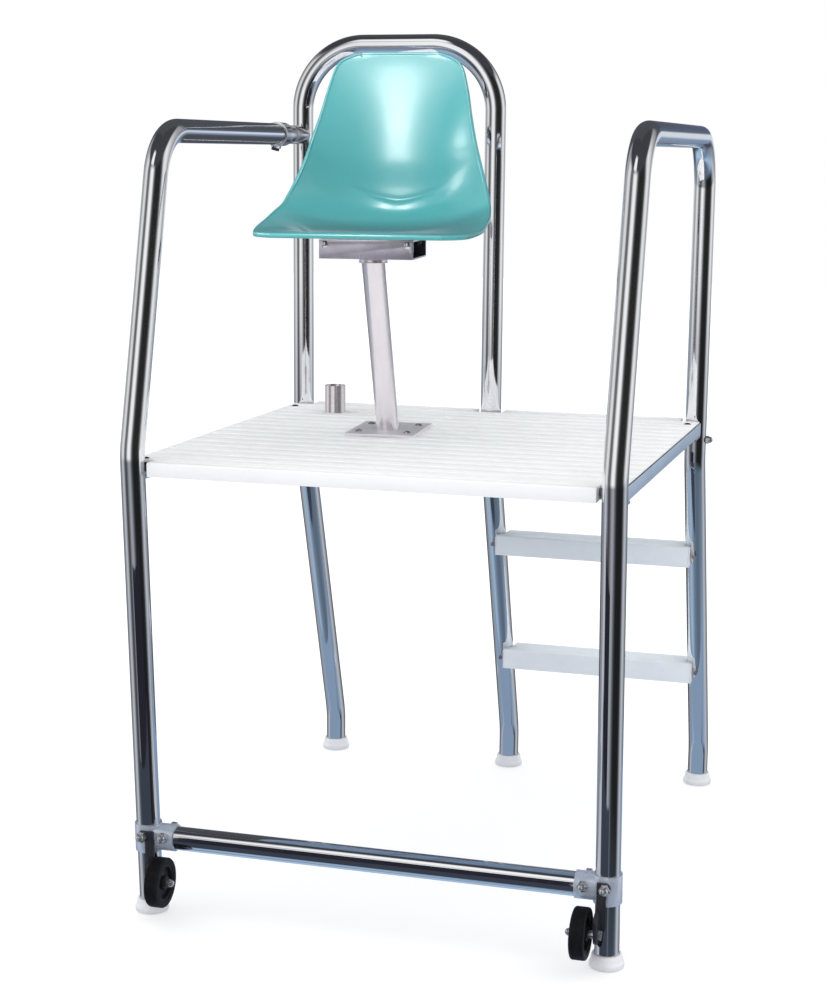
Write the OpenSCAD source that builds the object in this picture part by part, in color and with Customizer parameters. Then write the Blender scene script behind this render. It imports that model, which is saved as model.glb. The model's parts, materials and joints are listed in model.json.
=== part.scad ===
// Lifeguard chair on a bent tube frame, with a raised deck, a ladder and a swivelling shell seat.
// Millimetres. X runs to the right as seen from the front, Y to the back and Z up.
// The origin is on the floor, under the middle of the chair's box.
// Side shapes are drawn from the plane of the front feet, and in_place() moves them to the origin.

/* [Tubes] */
// Outside diameter of every frame tube
tube_d = 48.3; // [42:0.1:54]
// Wall of every frame tube
tube_wall = 2.8; // [1.6:0.1:4]
// Radius of the bend at a knee or an ankle, on the tube's centre line
knee_r = 150; // [120:5:180]
// Radius of the bends at the hand rails
rail_r = 115; // [95:5:130]
// Radius of the bends at the top of the hoop
arch_r = 150; // [110:5:180]

/* [Frame] */
// Spacing of the left and right side frames
track = 955; // [800:5:1150]
// Spacing of the two tubes of the back hoop
hoop_w = 469; // [400:1:520]
// Depth from the front feet to the upright part of the back tubes
base_depth = 938; // [850:1:1100]
// How far the knees of the front legs stand ahead of their feet
knee_out = 55; // [20:1:90]
// Height of the knees
knee_z = 962; // [955:1:990]
// How far the front corners of the hand rails lie behind the front feet
rail_set = 101; // [60:1:150]
// Height of the hand rails
rail_z = 1581; // [1500:1:1700]
// Height of the top of the hoop
hoop_z = 1786; // [1700:1:1900]
// How far the back feet stand behind the upright part
flare = 245; // [150:1:300]
// Height where the back tubes start to spread
flare_z = 853; // [800:1:880]
// Height where the back tubes turn upright again
ankle_z = 98; // [85:1:130]

/* [Feet] */
// Diameter of a foot pad at the floor
foot_d = 68; // [60:1:80]
// Height of a foot pad
foot_h = 28; // [22:1:36]
// Rubber under the end of the tube
foot_floor = 8; // [5:1:12]

/* [Deck] */
// Height of the deck's top
deck_z = 946; // [930:1:950]
// How far the deck's sides stand outside the middle of the side tubes
deck_out = 15.5; // [10:0.5:18]
// How far the deck's front edge stands ahead of the front feet
deck_lead = 62; // [58:1:70]
// How far the deck's back edge lies behind the upright back tubes
deck_tail = 20; // [10:1:30]
// Thickness of a deck board, ribs included
board_h = 28; // [24:1:34]
// Wall of a hollow deck board
board_wall = 2.5; // [2:0.1:4]
// Height of the grip ribs
rib_h = 3; // [1:0.5:4]
// Width of the groove between two grip ribs
groove_w = 9; // [5:1:16]
// Gap between two boards
board_gap = 1; // [0.5:0.1:2]
// Width of the plain nose on the front board
nose_w = 24.5; // [20:0.5:30]
// Width of the plain lip on the back board
lip_w = 15.5; // [12:0.5:20]
// Room round a tube where it passes the deck
notch_gap = 9; // [5:0.5:12]
// Thickness of the side angles
angle_t = 3; // [2:0.5:5]
// Width of the side angles' lower leg
angle_leg = 30; // [25:1:40]
// Depth of the bars under the deck
bearer_h = 25; // [20:1:40]
// Width of the bars under the deck
bearer_w = 40; // [30:1:50]
// Distance of the deck's corner bolts from its sides
corner_in = 23; // [20:0.5:26]
// Diameter of the deck's corner bolts
corner_d = 10; // [8:1:12]
// Thickness of the brackets and tabs that carry the deck
lug_t = 5; // [4:0.5:8]

/* [Ladder] */
// Height of the upper tread
upper_z = 640; // [600:1:700]
// Height of the lower tread
lower_z = 333; // [300:1:360]
// Depth of a tread from front to back
tread_d = 80; // [70:1:100]
// Height of a tread's front box
tread_h = 48; // [40:1:60]
// Depth of a tread's front box
box_d = 28; // [26:1:34]
// Wall of a tread
tread_wall = 2.5; // [2:0.1:4]
// How far a tread's front face stands ahead of the ladder tubes
tread_lead = 16; // [14:1:20]
// Distance from a ladder tube's centre to the end of the tread
tread_inset = 9; // [6:1:14]
// Diameter of the tread bolts
tread_bolt_d = 10; // [8:1:12]

/* [Front bar] */
// Height of the front bar
bar_z = 164; // [140:1:200]
// Outside diameter of a tee fitting
tee_d = 56; // [54:0.5:62]
// Height of the sleeve of a tee fitting
tee_h = 58; // [48:1:70]
// Distance from the leg's centre to the mouth of a tee's socket
tee_reach = 62; // [56:1:76]
// Diameter of the bolts through the tees
tee_bolt_d = 12; // [10:1:14]
// Distance from the leg's centre to the bolt through the bar
bar_bolt_in = 43; // [42:1:46]
// Height of the tees' bolts above the middle of the bar
tee_lift = 10; // [0:1:12]

/* [Rail clamp] */
// Distance from the hoop to the mouth of the clamp's socket
clamp_reach = 183; // [160:1:210]
// Length of the clamp's socket
socket_l = 44; // [36:1:60]
// Outside diameter of the clamp's socket
socket_d = 53; // [52:0.5:64]
// Diameter of the neck between the socket and the hoop
neck_d = 43; // [34:1:46]
// Diameter of the bolt under the socket and of the bolt through the hoop
clamp_bolt_d = 10; // [8:1:12]

/* [Wheels] */
// Diameter of a wheel
tyre_d = 102; // [90:1:106]
// Width of a wheel
tyre_w = 30; // [24:1:34]
// Diameter of a wheel's hub disc
hub_d = 74; // [60:1:80]
// Distance of a wheel's middle from the leg's centre
wheel_in = 42; // [40:1:44]
// How far the wheels' axles lie ahead of the front feet
wheel_lead = 52; // [50:1:60]
// Height of the wheels' axles
wheel_z = 82; // [78:1:90]
// Diameter of the wheels' axles
axle_d = 10; // [8:1:12]
// Width of a wheel bracket's arm
arm_w = 36; // [28:1:40]
// Height of a wheel bracket's arm above its axle
arm_h = 46; // [40:1:50]
// Thickness of a wheel bracket
arm_t = 7; // [5:0.5:8]
// Distance of the left bracket's arm from the leg's centre
left_arm_in = 24; // [22:0.5:25]
// Distance of the right bracket's arm from the leg's centre
right_arm_in = 15.5; // [6:0.5:18]

/* [Seat post] */
// Distance of the seat post from the left side tube
seat_in = 345.5; // [300:0.5:400]
// How far the swivel stands ahead of the post's foot
post_lean = 110; // [80:1:140]
// Width of the base plate
plate_w = 150; // [140:1:170]
// Thickness of the base plate
plate_t = 6; // [5:0.5:10]
// Distance of the base plate's bolts from its sides
plate_edge = 22; // [14:1:28]
// Distance of the base plate's bolts from its front and back edges
plate_end = 40; // [14:1:44]
// Angle that the base plate is turned on the deck
plate_turn = 4.5; // [-6:0.5:6]
// Diameter of the base plate's bolts
plate_bolt_d = 10; // [8:1:12]
// Height of the underside of the seat bracket
bracket_z = 1327; // [1250:1:1380]
// Diameter of the disc on top of the post
disc_d = 60; // [56:1:70]
// Thickness of the disc
disc_t = 8; // [6:1:12]
// Diameter of the swivel bolt
pin_d = 20; // [16:1:22]
// Running clearance of the swivel and the wheels, on the radius
running = 0.05; // [0.02:0.01:0.08]
// Wall of the swivel's bush
bush_wall = 3; // [2:0.5:5]
// Thickness of the bush's flange
flange_t = 2.5; // [2:0.1:4]

/* [Seat] */
// Angle that the seat is turned on its swivel
seat_turn = 6.5; // [-30:0.5:30]
// Width of the seat shell
seat_w = 464; // [420:1:500]
// Depth of the seat shell from its front edge to its top
seat_l = 482; // [440:1:520]
// Height of the seat shell above its plate
seat_h = 386; // [340:1:440]
// Width of the seat bracket
bracket_w = 196; // [180:1:220]
// Depth of the seat bracket
bracket_d = 160; // [140:1:180]
// Height of the seat bracket's walls
bracket_h = 36; // [32:1:40]
// Thickness of the seat bracket's sheet
sheet_t = 3; // [2:0.5:4]
// Thickness of the seat shell
shell_t = 5; // [4:0.5:7]
// Reach of the shell's rolled rim outside its surface
rim_out = 6; // [4:0.5:8]
// Depth of the shell's rolled rim
rim_drop = 11; // [9:0.5:14]
// Diameter of the shell's mounting bosses
boss_d = 32; // [24:1:40]
// Spacing of the mounting bosses from side to side
boss_w = 130; // [110:1:150]
// Spacing of the mounting bosses from front to back
boss_l = 100; // [80:1:120]
// Diameter of the screws in the shell and the bracket
seat_screw_d = 8; // [6:1:10]

/* [Umbrella sleeve] */
// Distance of the sleeve from the left side tube
sleeve_in = 132.5; // [110:0.5:160]
// Height of the sleeve above the deck
sleeve_up = 63; // [40:1:100]
// Depth of the sleeve below the deck's top
sleeve_down = 165; // [120:1:200]

/* [Hidden] */
$fn = 72;

steel = [0.80, 0.81, 0.83];
satin = [0.72, 0.69, 0.70];
white = [0.93, 0.94, 0.95];
pale = [0.78, 0.82, 0.86];
anodised = [0.50, 0.58, 0.70];
black = [0.13, 0.12, 0.15];
teal = [0.34, 0.73, 0.69];
nylon = [0.90, 0.89, 0.84];

// Clearances, named once: a tube in its socket, a bolt in its hole, a screw in a tapped hole, parts
// that pass each other, and the hair between a run and a bend
fit = 0.15;
bolt_fit = 0.3;
tap_fit = 0.1;
slip = 0.3;
hair = 0.02;

// How far a cut runs past the face that it starts from
over = 1;

// Widths across the flats of nuts and bolt heads, counted in bolt diameters
hex_ratio = 1.7;

tube_r = tube_d / 2;
bore_r = tube_r - tube_wall;
tee_r = tee_d / 2;
left_x = -track / 2;
right_x = track / 2;
ladder_x = left_x + hoop_w;
seat_x = left_x + seat_in;
sleeve_x = left_x + sleeve_in;
back_foot_y = base_depth + flare;
flare_angle = atan(flare / (flare_z - ankle_z));
tube_run = tube_r / cos(flare_angle);
front_lean = atan(knee_out / (knee_z - foot_floor));
front_reach = max(wheel_lead + tyre_d / 2, knee_out + tube_r);
deck_w = track + 2 * deck_out;
corner_w = deck_w - 2 * corner_in;
mid_y = (back_foot_y + foot_d / 2 - front_reach) / 2;

// Front leg's centre line and the ladder tube's centre line at a height
function leg_y(z) = -knee_out * (z - foot_floor) / (knee_z - foot_floor);
function ladder_y(z) = base_depth + (flare_z - z) * flare / (flare_z - ankle_z);
function unit(v) = v / norm(v);

// Deck
deck_front = -deck_lead;
deck_back = base_depth + deck_tail;
deck_under = deck_z - board_h;
rib_count = 17;
rib_pitch = (deck_back - deck_front - nose_w - lip_w) / rib_count;
board_len = deck_w - 2 * angle_t;
notch_x = track / 2 - tube_r - notch_gap;
front_notch_y = leg_y(deck_z) + tube_r + notch_gap;
back_notch_y = base_depth - tube_r - notch_gap;
angle_under = deck_under - angle_t;
lug_under = angle_under - lug_t;
front_bolt_y = deck_front + nose_w + rib_pitch / 2;
rear_bolt_y = deck_back - lip_w - rib_pitch * 1.5;
frame_bolt_drop = 45;
frame_bolt_z = deck_z - frame_bolt_drop;
frame_bolt_d = 10;
bracket_drop = 30;
lug_w = 40;
lug_past = 16;
lug_aside = 2;
bearer_back = 130;
bearer_past = 30;

// Places on the deck, counted in ribs behind its nose, so that each hole keeps to its board
plate_rib = 9.723;
sleeve_rib = 14.268;
plate_rows = 1.05;
plate_y = deck_front + nose_w + plate_rib * rib_pitch;
sleeve_y = deck_front + nose_w + sleeve_rib * rib_pitch;

// Seat post and seat
plate_bolt_x = plate_w / 2 - plate_edge;
plate_bolt_y = plate_rows * rib_pitch;
plate_d = 2 * (plate_bolt_y + plate_end);
plate_back = 8;
post_y = plate_y - plate_back;
swivel_y = post_y - post_lean;
plate_top = deck_z + plate_t;
plate_bolts = [for (sx = [-1, 1], sy = [-1, 1])
    [seat_x + sx * plate_bolt_x * cos(plate_turn) - sy * plate_bolt_y * sin(plate_turn),
        plate_y + sx * plate_bolt_x * sin(plate_turn) + sy * plate_bolt_y * cos(plate_turn)]];
disc_top = bracket_z - flange_t - slip;
bush_r = pin_d / 2 + running + bush_wall;
bracket_top = bracket_z + bracket_h;
seat_base = bracket_top + sheet_t;
boss_shift = 12;
boss_h = 9;
bracket_screw_drop = 7;
bracket_screw_in = 12;
bracket_screw_z = bracket_top - bracket_screw_drop;
seat_hex_h = 4;
seat_screw_in = 5;

// Front bar and wheels
bar_y = leg_y(bar_z);
bar_end = track / 2 - tee_r - 1;
socket_r = tee_r - 0.5;
tee_head_h = 8;
tee_thread = 8;
wheel_y = -wheel_lead;
wheel_x = track / 2 - wheel_in;
hub_play = 0.5;

module in_place() {
    translate([0, -mid_y, 0]) children();
}

module in_seat() {
    in_place() translate([seat_x, swivel_y, 0]) rotate([0, 0, seat_turn]) children();
}

// Turns children that stand along Z to stand along a direction
module along(dir) {
    d = unit(dir);
    rotate([0, acos(d.z), atan2(d.y, d.x)]) children();
}

// A round bar from one point to another
module bar(from, to, radius) {
    translate(from) along(to - from) cylinder(r = radius, h = norm(to - from));
}

// A bend that starts at a point with one direction and turns to another
module elbow(start, a, b, bend, radius) {
    turn = acos(a * b);
    inward = unit(b - (a * b) * a);
    axis = cross(-inward, a);
    tilt = acos(axis.z);
    swing = atan2(axis.y, axis.x);
    x_dir = [cos(tilt) * cos(swing), cos(tilt) * sin(swing), -sin(tilt)];
    y_dir = [-sin(swing), cos(swing), 0];
    roll = atan2(-inward * y_dir, -inward * x_dir);
    translate(start + inward * bend)
        rotate([0, tilt, swing])
            rotate([0, 0, roll])
                rotate_extrude(angle = turn)
                    translate([bend, 0]) circle(r = radius);
}

// How far a bend's ends lie from its corner
function setback(p, bends, i) = i == 0 || i == len(p) - 1 ? 0 :
    bends[i] * tan(acos(unit(p[i] - p[i - 1]) * unit(p[i + 1] - p[i])) / 2);

// A round bar along corners, with a bend at each inner one. Straight runs and bends stop a hair
// short of each other, and a short ring joins them.
module bent_bar(p, bends, radius) {
    last = len(p) - 1;
    for (i = [0 : last - 1]) {
        d = unit(p[i + 1] - p[i]);
        from = p[i] + d * (setback(p, bends, i) + (i > 0 ? hair : 0));
        to = p[i + 1] - d * (setback(p, bends, i + 1) + (i < last - 1 ? hair : 0));
        bar(from, to, radius);
    }
    for (i = [1 : last - 1]) {
        a = unit(p[i] - p[i - 1]);
        b = unit(p[i + 1] - p[i]);
        start = p[i] - a * setback(p, bends, i);
        stop = p[i] + b * setback(p, bends, i);
        elbow(start, a, b, bends[i], radius);
        bar(start - a, start + a, radius + hair);
        bar(stop - b, stop + b, radius + hair);
    }
}

// Hexagon nut or head, with its base at z = 0
module hex(across, h) {
    cylinder(d = across / cos(30), h = h, $fn = 6);
}

// Domed cap nut, with its base at z = 0
module cap_nut(d) {
    hex(1.6 * d, 0.65 * d);
    cylinder(d = 1.5 * d, h = 0.8 * d);
    translate([0, 0, 0.8 * d]) intersection() {
        sphere(d = 1.5 * d);
        cylinder(d = 1.5 * d, h = d);
    }
}

// Low domed head, with its base at z = 0
module button_head(d, h) {
    rise = (d * d / 4 + h * h) / (2 * h);
    intersection() {
        translate([0, 0, h - rise]) sphere(r = rise);
        cylinder(d = d, h = h);
    }
}

// Tubes of the frame
function leg_points(x) = [[x, 0, foot_floor], [x, -knee_out, knee_z], [x, rail_set, rail_z]];
function back_points(x) = [[x, base_depth, flare_z], [x, back_foot_y, ankle_z], [x, back_foot_y, foot_floor]];
rail_short = 5;
left_end = base_depth - clamp_reach + socket_l - rail_short;
left_points = concat(leg_points(left_x), [[left_x, left_end, rail_z]]);
left_bends = [0, knee_r, rail_r, 0];
right_points = concat(leg_points(right_x), [[right_x, base_depth, rail_z]], back_points(right_x));
right_bends = [0, knee_r, rail_r, rail_r, knee_r, knee_r, 0];
hoop_corners = [[left_x, base_depth, hoop_z], [ladder_x, base_depth, hoop_z]];
hoop_left = back_points(left_x);
hoop_points = concat([hoop_left[2], hoop_left[1], hoop_left[0]], hoop_corners, back_points(ladder_x));
hoop_bends = [0, knee_r, knee_r, arch_r, arch_r, knee_r, knee_r, 0];

// Tab welded behind a front leg, which carries the deck's front corner
module deck_tab(x) {
    y = leg_y(deck_z);
    side = x > 0 ? 1 : -1;
    translate([x - side * lug_aside - lug_w / 2, y, lug_under])
        cube([lug_w, front_bolt_y + lug_past - y, lug_t]);
}

module tab_hole(x) {
    side = x > 0 ? 1 : -1;
    translate([side * corner_w / 2, front_bolt_y, lug_under - over])
        cylinder(d = corner_d + tap_fit, h = lug_t + 2 * over);
}

// Place of a tee's bolt, with Z square to the legs and towards the front
module at_tee(side, inset) {
    translate([side * (track / 2 - inset), bar_y, bar_z]) rotate([90 + front_lean, 0, 0])
        translate([0, tee_lift, 0]) children();
}

// Hole from front to back through a leg or the bar, for one of the tee's bolts
module tee_hole(side, inset) {
    at_tee(side, inset) cylinder(d = tee_bolt_d + bolt_fit, h = 2 * tee_d, center = true);
}

// Hole from side to side through an upright tube, for the bolt under the deck
module deck_hole(x) {
    translate([x, base_depth, frame_bolt_z]) rotate([0, 90, 0])
        cylinder(d = frame_bolt_d + bolt_fit, h = 2 * tube_d, center = true);
}

// Hole from front to back through a ladder tube, for a tread's bolt
module tread_hole(x, z) {
    translate([x, ladder_y(z - tread_h / 2), z - tread_h / 2]) rotate([90, 0, 0])
        cylinder(d = tread_bolt_d + bolt_fit, h = 2 * tube_d, center = true);
}

module left_front_rail() {
    color(steel) in_place() difference() {
        union() {
            bent_bar(left_points, left_bends, tube_r);
            deck_tab(left_x);
        }
        bent_bar(left_points, left_bends, bore_r);
        tee_hole(-1, 0);
        tab_hole(left_x);
    }
}

module right_side_rail() {
    color(steel) in_place() difference() {
        union() {
            bent_bar(right_points, right_bends, tube_r);
            deck_tab(right_x);
        }
        bent_bar(right_points, right_bends, bore_r);
        tee_hole(1, 0);
        tab_hole(right_x);
        deck_hole(right_x);
        tread_hole(right_x, upper_z);
        tread_hole(right_x, lower_z);
    }
}

module back_hoop() {
    color(steel) in_place() difference() {
        bent_bar(hoop_points, hoop_bends, tube_r);
        bent_bar(hoop_points, hoop_bends, bore_r);
        hoop_hole();
        deck_hole(left_x);
        deck_hole(ladder_x);
        tread_hole(ladder_x, upper_z);
        tread_hole(ladder_x, lower_z);
    }
}

module front_bar() {
    color(steel) in_place() difference() {
        translate([-bar_end, bar_y, bar_z]) rotate([0, 90, 0]) cylinder(r = tube_r, h = 2 * bar_end);
        translate([-bar_end, bar_y, bar_z]) rotate([0, 90, 0]) cylinder(r = bore_r, h = 2 * bar_end);
        tee_hole(-1, bar_bolt_in);
        tee_hole(1, bar_bolt_in);
    }
}

// Tee that slides on a leg and holds one end of the front bar
module bar_tee(side) {
    color(satin) in_place() difference() {
        union() {
            translate([side * track / 2, bar_y, bar_z]) rotate([front_lean, 0, 0])
                cylinder(r = tee_r, h = tee_h, center = true);
            translate([side * track / 2, bar_y, bar_z]) rotate([0, -side * 90, 0])
                cylinder(r = socket_r, h = tee_reach);
        }
        translate([side * track / 2, bar_y, bar_z]) rotate([front_lean, 0, 0])
            cylinder(r = tube_r + fit, h = 2 * tee_h, center = true);
        translate([side * (bar_end + slip), bar_y, bar_z]) rotate([0, -side * 90, 0])
            cylinder(r = tube_r + fit, h = tee_reach);
        tee_hole(side, 0);
        tee_hole(side, bar_bolt_in);
    }
}

module left_bar_tee() { bar_tee(-1); }
module right_bar_tee() { bar_tee(1); }

// The face that a tee's cap nut sits on: the wheel bracket's tab on the leg, the socket on the bar
function nut_seat(inset) = inset == 0 ? tee_r + arm_t : socket_r;
function head_seat(inset) = inset == 0 ? tee_r : socket_r;

// Bolts through the tees, with their heads at the back
module bar_tee_bolts() {
    color(steel) in_place() for (side = [-1, 1], inset = [0, bar_bolt_in]) at_tee(side, inset) {
        back = head_seat(inset);
        translate([0, 0, -back - over])
            cylinder(d = tee_bolt_d, h = back + over + nut_seat(inset) + tee_thread - 1);
        translate([0, 0, -back - tee_head_h]) hex(1.5 * tee_bolt_d, tee_head_h);
    }
}

// Cap nuts at the front of the tees
module bar_cap_nuts() {
    color(steel) in_place() for (side = [-1, 1], inset = [0, bar_bolt_in])
        at_tee(side, inset) translate([0, 0, nut_seat(inset)]) difference() {
            cap_nut(tee_bolt_d);
            translate([0, 0, -over]) cylinder(d = tee_bolt_d + tap_fit, h = tee_thread + over);
        }
}

// Clamp that joins the end of the left rail to the hoop: a socket with a beaded mouth, and a neck that
// fits the hoop's side and is bolted to it from behind
clamp_mouth = base_depth - clamp_reach;
neck_from = clamp_mouth + socket_l;
neck_taper = (socket_d - neck_d) / 2;
mouth_bead = 1.2;
mouth_bead_l = 7;
groove_from = 82;
groove_l = 5;
groove_in = 2;
clamp_boss_d = 24;
clamp_boss_out = 4;
clamp_bolt_back = 18;
clamp_bolt_turn = 195;
clamp_head_h = 7;
hoop_bolt_in = 28;
module at_rail(y) {
    translate([left_x, y, rail_z]) rotate([-90, 0, 0]) children();
}

// The hole through the hoop for the clamp's second bolt
module hoop_hole() {
    at_rail(base_depth - tube_d) cylinder(d = clamp_bolt_d + bolt_fit, h = 2 * tube_d);
}

module rail_end_clamp() {
    color(satin) in_place() difference() {
        union() {
            at_rail(clamp_mouth) cylinder(d = socket_d, h = socket_l);
            at_rail(clamp_mouth) cylinder(d = socket_d + 2 * mouth_bead, h = mouth_bead_l);
            at_rail(neck_from) cylinder(d1 = socket_d, d2 = neck_d, h = neck_taper);
            at_rail(neck_from) cylinder(d = neck_d, h = base_depth - neck_from);
            at_clamp_bolt() cylinder(d = clamp_boss_d, h = socket_d / 2 + clamp_boss_out);
        }
        translate([left_x, base_depth, rail_z]) cylinder(r = tube_r + fit, h = 2 * tube_d, center = true);
        at_rail(clamp_mouth - over) cylinder(r = tube_r + fit, h = left_end - clamp_mouth + over + fit);
        at_rail(clamp_mouth + groove_from) difference() {
            cylinder(d = neck_d + over, h = groove_l);
            cylinder(d = neck_d - 2 * groove_in, h = groove_l);
        }
        at_rail(base_depth - tube_r - hoop_bolt_in) cylinder(d = clamp_bolt_d + tap_fit, h = tube_d);
        at_clamp_bolt() cylinder(d = clamp_bolt_d + tap_fit, h = 2 * socket_d);
    }
}

// The clamp's set bolt hangs aslant under the socket
module at_clamp_bolt() {
    translate([left_x, clamp_mouth + clamp_bolt_back, rail_z]) rotate([0, clamp_bolt_turn, 0]) children();
}

module rail_clamp_bolt() {
    seat = socket_d / 2 + clamp_boss_out;
    color(black) in_place() {
        at_clamp_bolt() {
            translate([0, 0, tube_r + fit]) cylinder(d = clamp_bolt_d, h = seat - tube_r);
            translate([0, 0, seat]) hex(hex_ratio * clamp_bolt_d, clamp_head_h);
        }
        at_rail(base_depth - tube_r - hoop_bolt_in + over)
            cylinder(d = clamp_bolt_d, h = hoop_bolt_in + tube_d);
        at_rail(base_depth + tube_r) hex(hex_ratio * clamp_bolt_d, clamp_head_h);
    }
}

// Rubber pad round the end of a leg
module foot(x, y, lean) {
    color(white) in_place() difference() {
        translate([x, y, 0]) rotate_extrude() polygon([[0, 0], [foot_d / 2 - 2, 0], [foot_d / 2, 3],
            [foot_d / 2 - 1.5, foot_h - 4], [foot_d / 2 - 5, foot_h], [0, foot_h]]);
        translate([x, y, foot_floor]) rotate([lean, 0, 0]) cylinder(r = tube_r + fit, h = 2 * foot_h);
    }
}

module front_left_foot() { foot(left_x, 0, front_lean); }
module front_right_foot() { foot(right_x, 0, front_lean); }
module rear_left_foot() { foot(left_x, back_foot_y, 0); }
module ladder_foot() { foot(ladder_x, back_foot_y, 0); }
module rear_right_foot() { foot(right_x, back_foot_y, 0); }

// Where each board starts: the first has the nose and one rib, the others two ribs each
function board_start(i) = i == 0 ? deck_front : deck_front + nose_w + rib_pitch * (2 * i - 1);
function board_stop(i) = i == 8 ? deck_back : board_start(i + 1) - board_gap;
function board_ribs(i) = i == 0 ? 1 : 2;

// Section of a board: a hollow plank with raised ribs, as seen from its right end
module board_section(i) {
    from = board_start(i);
    to = board_stop(i);
    first = i == 0 ? from + nose_w : from;
    top = board_h - rib_h;
    difference() {
        union() {
            translate([from, 0]) square([to - from, top]);
            for (n = [0 : board_ribs(i) - 1])
                translate([first + rib_pitch * n + groove_w / 2, 0]) square([rib_pitch - groove_w, board_h]);
            if (i == 0) nose_shape(from, nose_w - groove_w / 2);
            if (i == 8) translate([to - lip_w + groove_w / 2, 0]) square([lip_w - groove_w / 2, board_h]);
        }
        for (n = [0 : board_ribs(i) - 1])
            translate([first + rib_pitch * n + board_wall, board_wall])
                square([rib_pitch - 2 * board_wall, top - 2 * board_wall]);
    }
}

// Nose of the front board, with its upper front edge rounded
module nose_shape(from, w) {
    round_r = 5;
    translate([from, 0]) square([w, board_h - round_r]);
    translate([from + round_r, 0]) square([w - round_r, board_h]);
    translate([from + round_r, board_h - round_r]) circle(r = round_r, $fn = 32);
}

// Straight-sided cut through the deck's thickness
module deck_cut(from, to) {
    translate([from.x, from.y, deck_under - over])
        cube([to.x - from.x, to.y - from.y, board_h + 2 * over]);
}

module deck_bore(x, y, radius) {
    translate([x, y, deck_under - over]) cylinder(r = radius, h = board_h + 2 * over);
}

module deck_board(i) {
    far = deck_w;
    room = tube_r + notch_gap;
    color(white) in_place() difference() {
        translate([-board_len / 2, 0, deck_under]) rotate([90, 0, 90])
            linear_extrude(height = board_len) board_section(i);
        if (i == 0) {
            deck_cut([-far, deck_front - over], [-notch_x, front_notch_y]);
            deck_cut([notch_x, deck_front - over], [far, front_notch_y]);
            for (side = [-1, 1]) deck_bore(side * corner_w / 2, front_bolt_y, (corner_d + bolt_fit) / 2);
        }
        if (i == 8) {
            deck_cut([-far, back_notch_y], [-notch_x, deck_back + over]);
            deck_cut([notch_x, back_notch_y], [far, deck_back + over]);
            deck_cut([ladder_x - room, back_notch_y], [ladder_x + room, deck_back + over]);
            for (side = [-1, 1]) deck_bore(side * corner_w / 2, rear_bolt_y, (corner_d + bolt_fit) / 2);
        }
        for (p = plate_bolts) deck_bore(p.x, p.y, (plate_bolt_d + bolt_fit) / 2);
        deck_bore(sleeve_x, sleeve_y, tube_r + slip);
    }
}

module front_deck_board() { deck_board(0); }
module deck_board_2() { deck_board(1); }
module deck_board_3() { deck_board(2); }
module deck_board_4() { deck_board(3); }
module deck_board_5() { deck_board(4); }
module deck_board_6() { deck_board(5); }
module deck_board_7() { deck_board(6); }
module deck_board_8() { deck_board(7); }
module rear_deck_board() { deck_board(8); }

// Angle that closes the boards' ends on one side, between the front and back tubes
module deck_angle(side) {
    long = back_notch_y - front_notch_y;
    color(anodised) in_place() difference() {
        union() {
            translate([side * (deck_w / 2 - angle_t / 2), front_notch_y + long / 2, angle_under])
                linear_extrude(height = board_h - rib_h + angle_t) square([angle_t, long], center = true);
            translate([side * (deck_w / 2 - angle_leg / 2), front_notch_y + long / 2, angle_under])
                linear_extrude(height = angle_t) square([angle_leg, long], center = true);
        }
        for (y = [front_bolt_y, rear_bolt_y]) translate([side * corner_w / 2, y, angle_under - over])
            cylinder(d = corner_d + bolt_fit, h = angle_t + 2 * over);
    }
}

module left_deck_angle() { deck_angle(-1); }
module right_deck_angle() { deck_angle(1); }

// Hollow bar under the boards, below one row of the base plate's bolts
module deck_bearer(side) {
    wall = 2.5;
    from = front_notch_y + bearer_back;
    long = rear_bolt_y + bearer_past - from;
    x = seat_x + side * plate_bolt_x;
    color(pale) in_place() difference() {
        translate([x - bearer_w / 2, from, deck_under - bearer_h]) cube([bearer_w, long, bearer_h]);
        translate([x - bearer_w / 2 + wall, from - over, deck_under - bearer_h + wall])
            cube([bearer_w - 2 * wall, long + 2 * over, bearer_h - 2 * wall]);
        for (p = plate_bolts) translate([p.x, p.y, deck_under - bearer_h - over])
            cylinder(d = plate_bolt_d + bolt_fit, h = bearer_h + 2 * over);
    }
}

module left_deck_bearer() { deck_bearer(-1); }
module right_deck_bearer() { deck_bearer(1); }

// Bolts with low domed heads at the deck's corners, screwed into the tabs and brackets below
module deck_corner_bolts() {
    color(black) in_place() for (side = [-1, 1], y = [front_bolt_y, rear_bolt_y])
        translate([side * corner_w / 2, y, 0]) {
            translate([0, 0, lug_under]) cylinder(d = corner_d, h = deck_z - lug_under);
            translate([0, 0, deck_z]) button_head(hex_ratio * corner_d, 3);
        }
}

// Bracket bolted to the inner side of a back tube, with a leg under the deck
module rear_bracket(x, side, top, corner) {
    inner = x - side * (tube_r + lug_t / 2);
    past = 18;
    front = rear_bolt_y - past;
    reach = base_depth + past - front;
    shelf = 1.1 * lug_w;
    color(pale) in_place() difference() {
        union() {
            translate([inner, front + reach / 2, top - bracket_drop])
                linear_extrude(height = bracket_drop) square([lug_t, reach], center = true);
            translate([inner + side * (shelf - lug_t) / 2, (front + back_notch_y) / 2, top - lug_t])
                linear_extrude(height = lug_t) square([shelf, back_notch_y - front], center = true);
        }
        deck_hole(x);
        if (corner) translate([side * corner_w / 2, rear_bolt_y, top - lug_t - over])
            cylinder(d = corner_d + tap_fit, h = lug_t + 2 * over);
    }
}

module rear_left_bracket() { rear_bracket(left_x, -1, angle_under, true); }
module ladder_bracket() { rear_bracket(ladder_x, -1, deck_under, false); }
module rear_right_bracket() { rear_bracket(right_x, 1, angle_under, true); }

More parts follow.
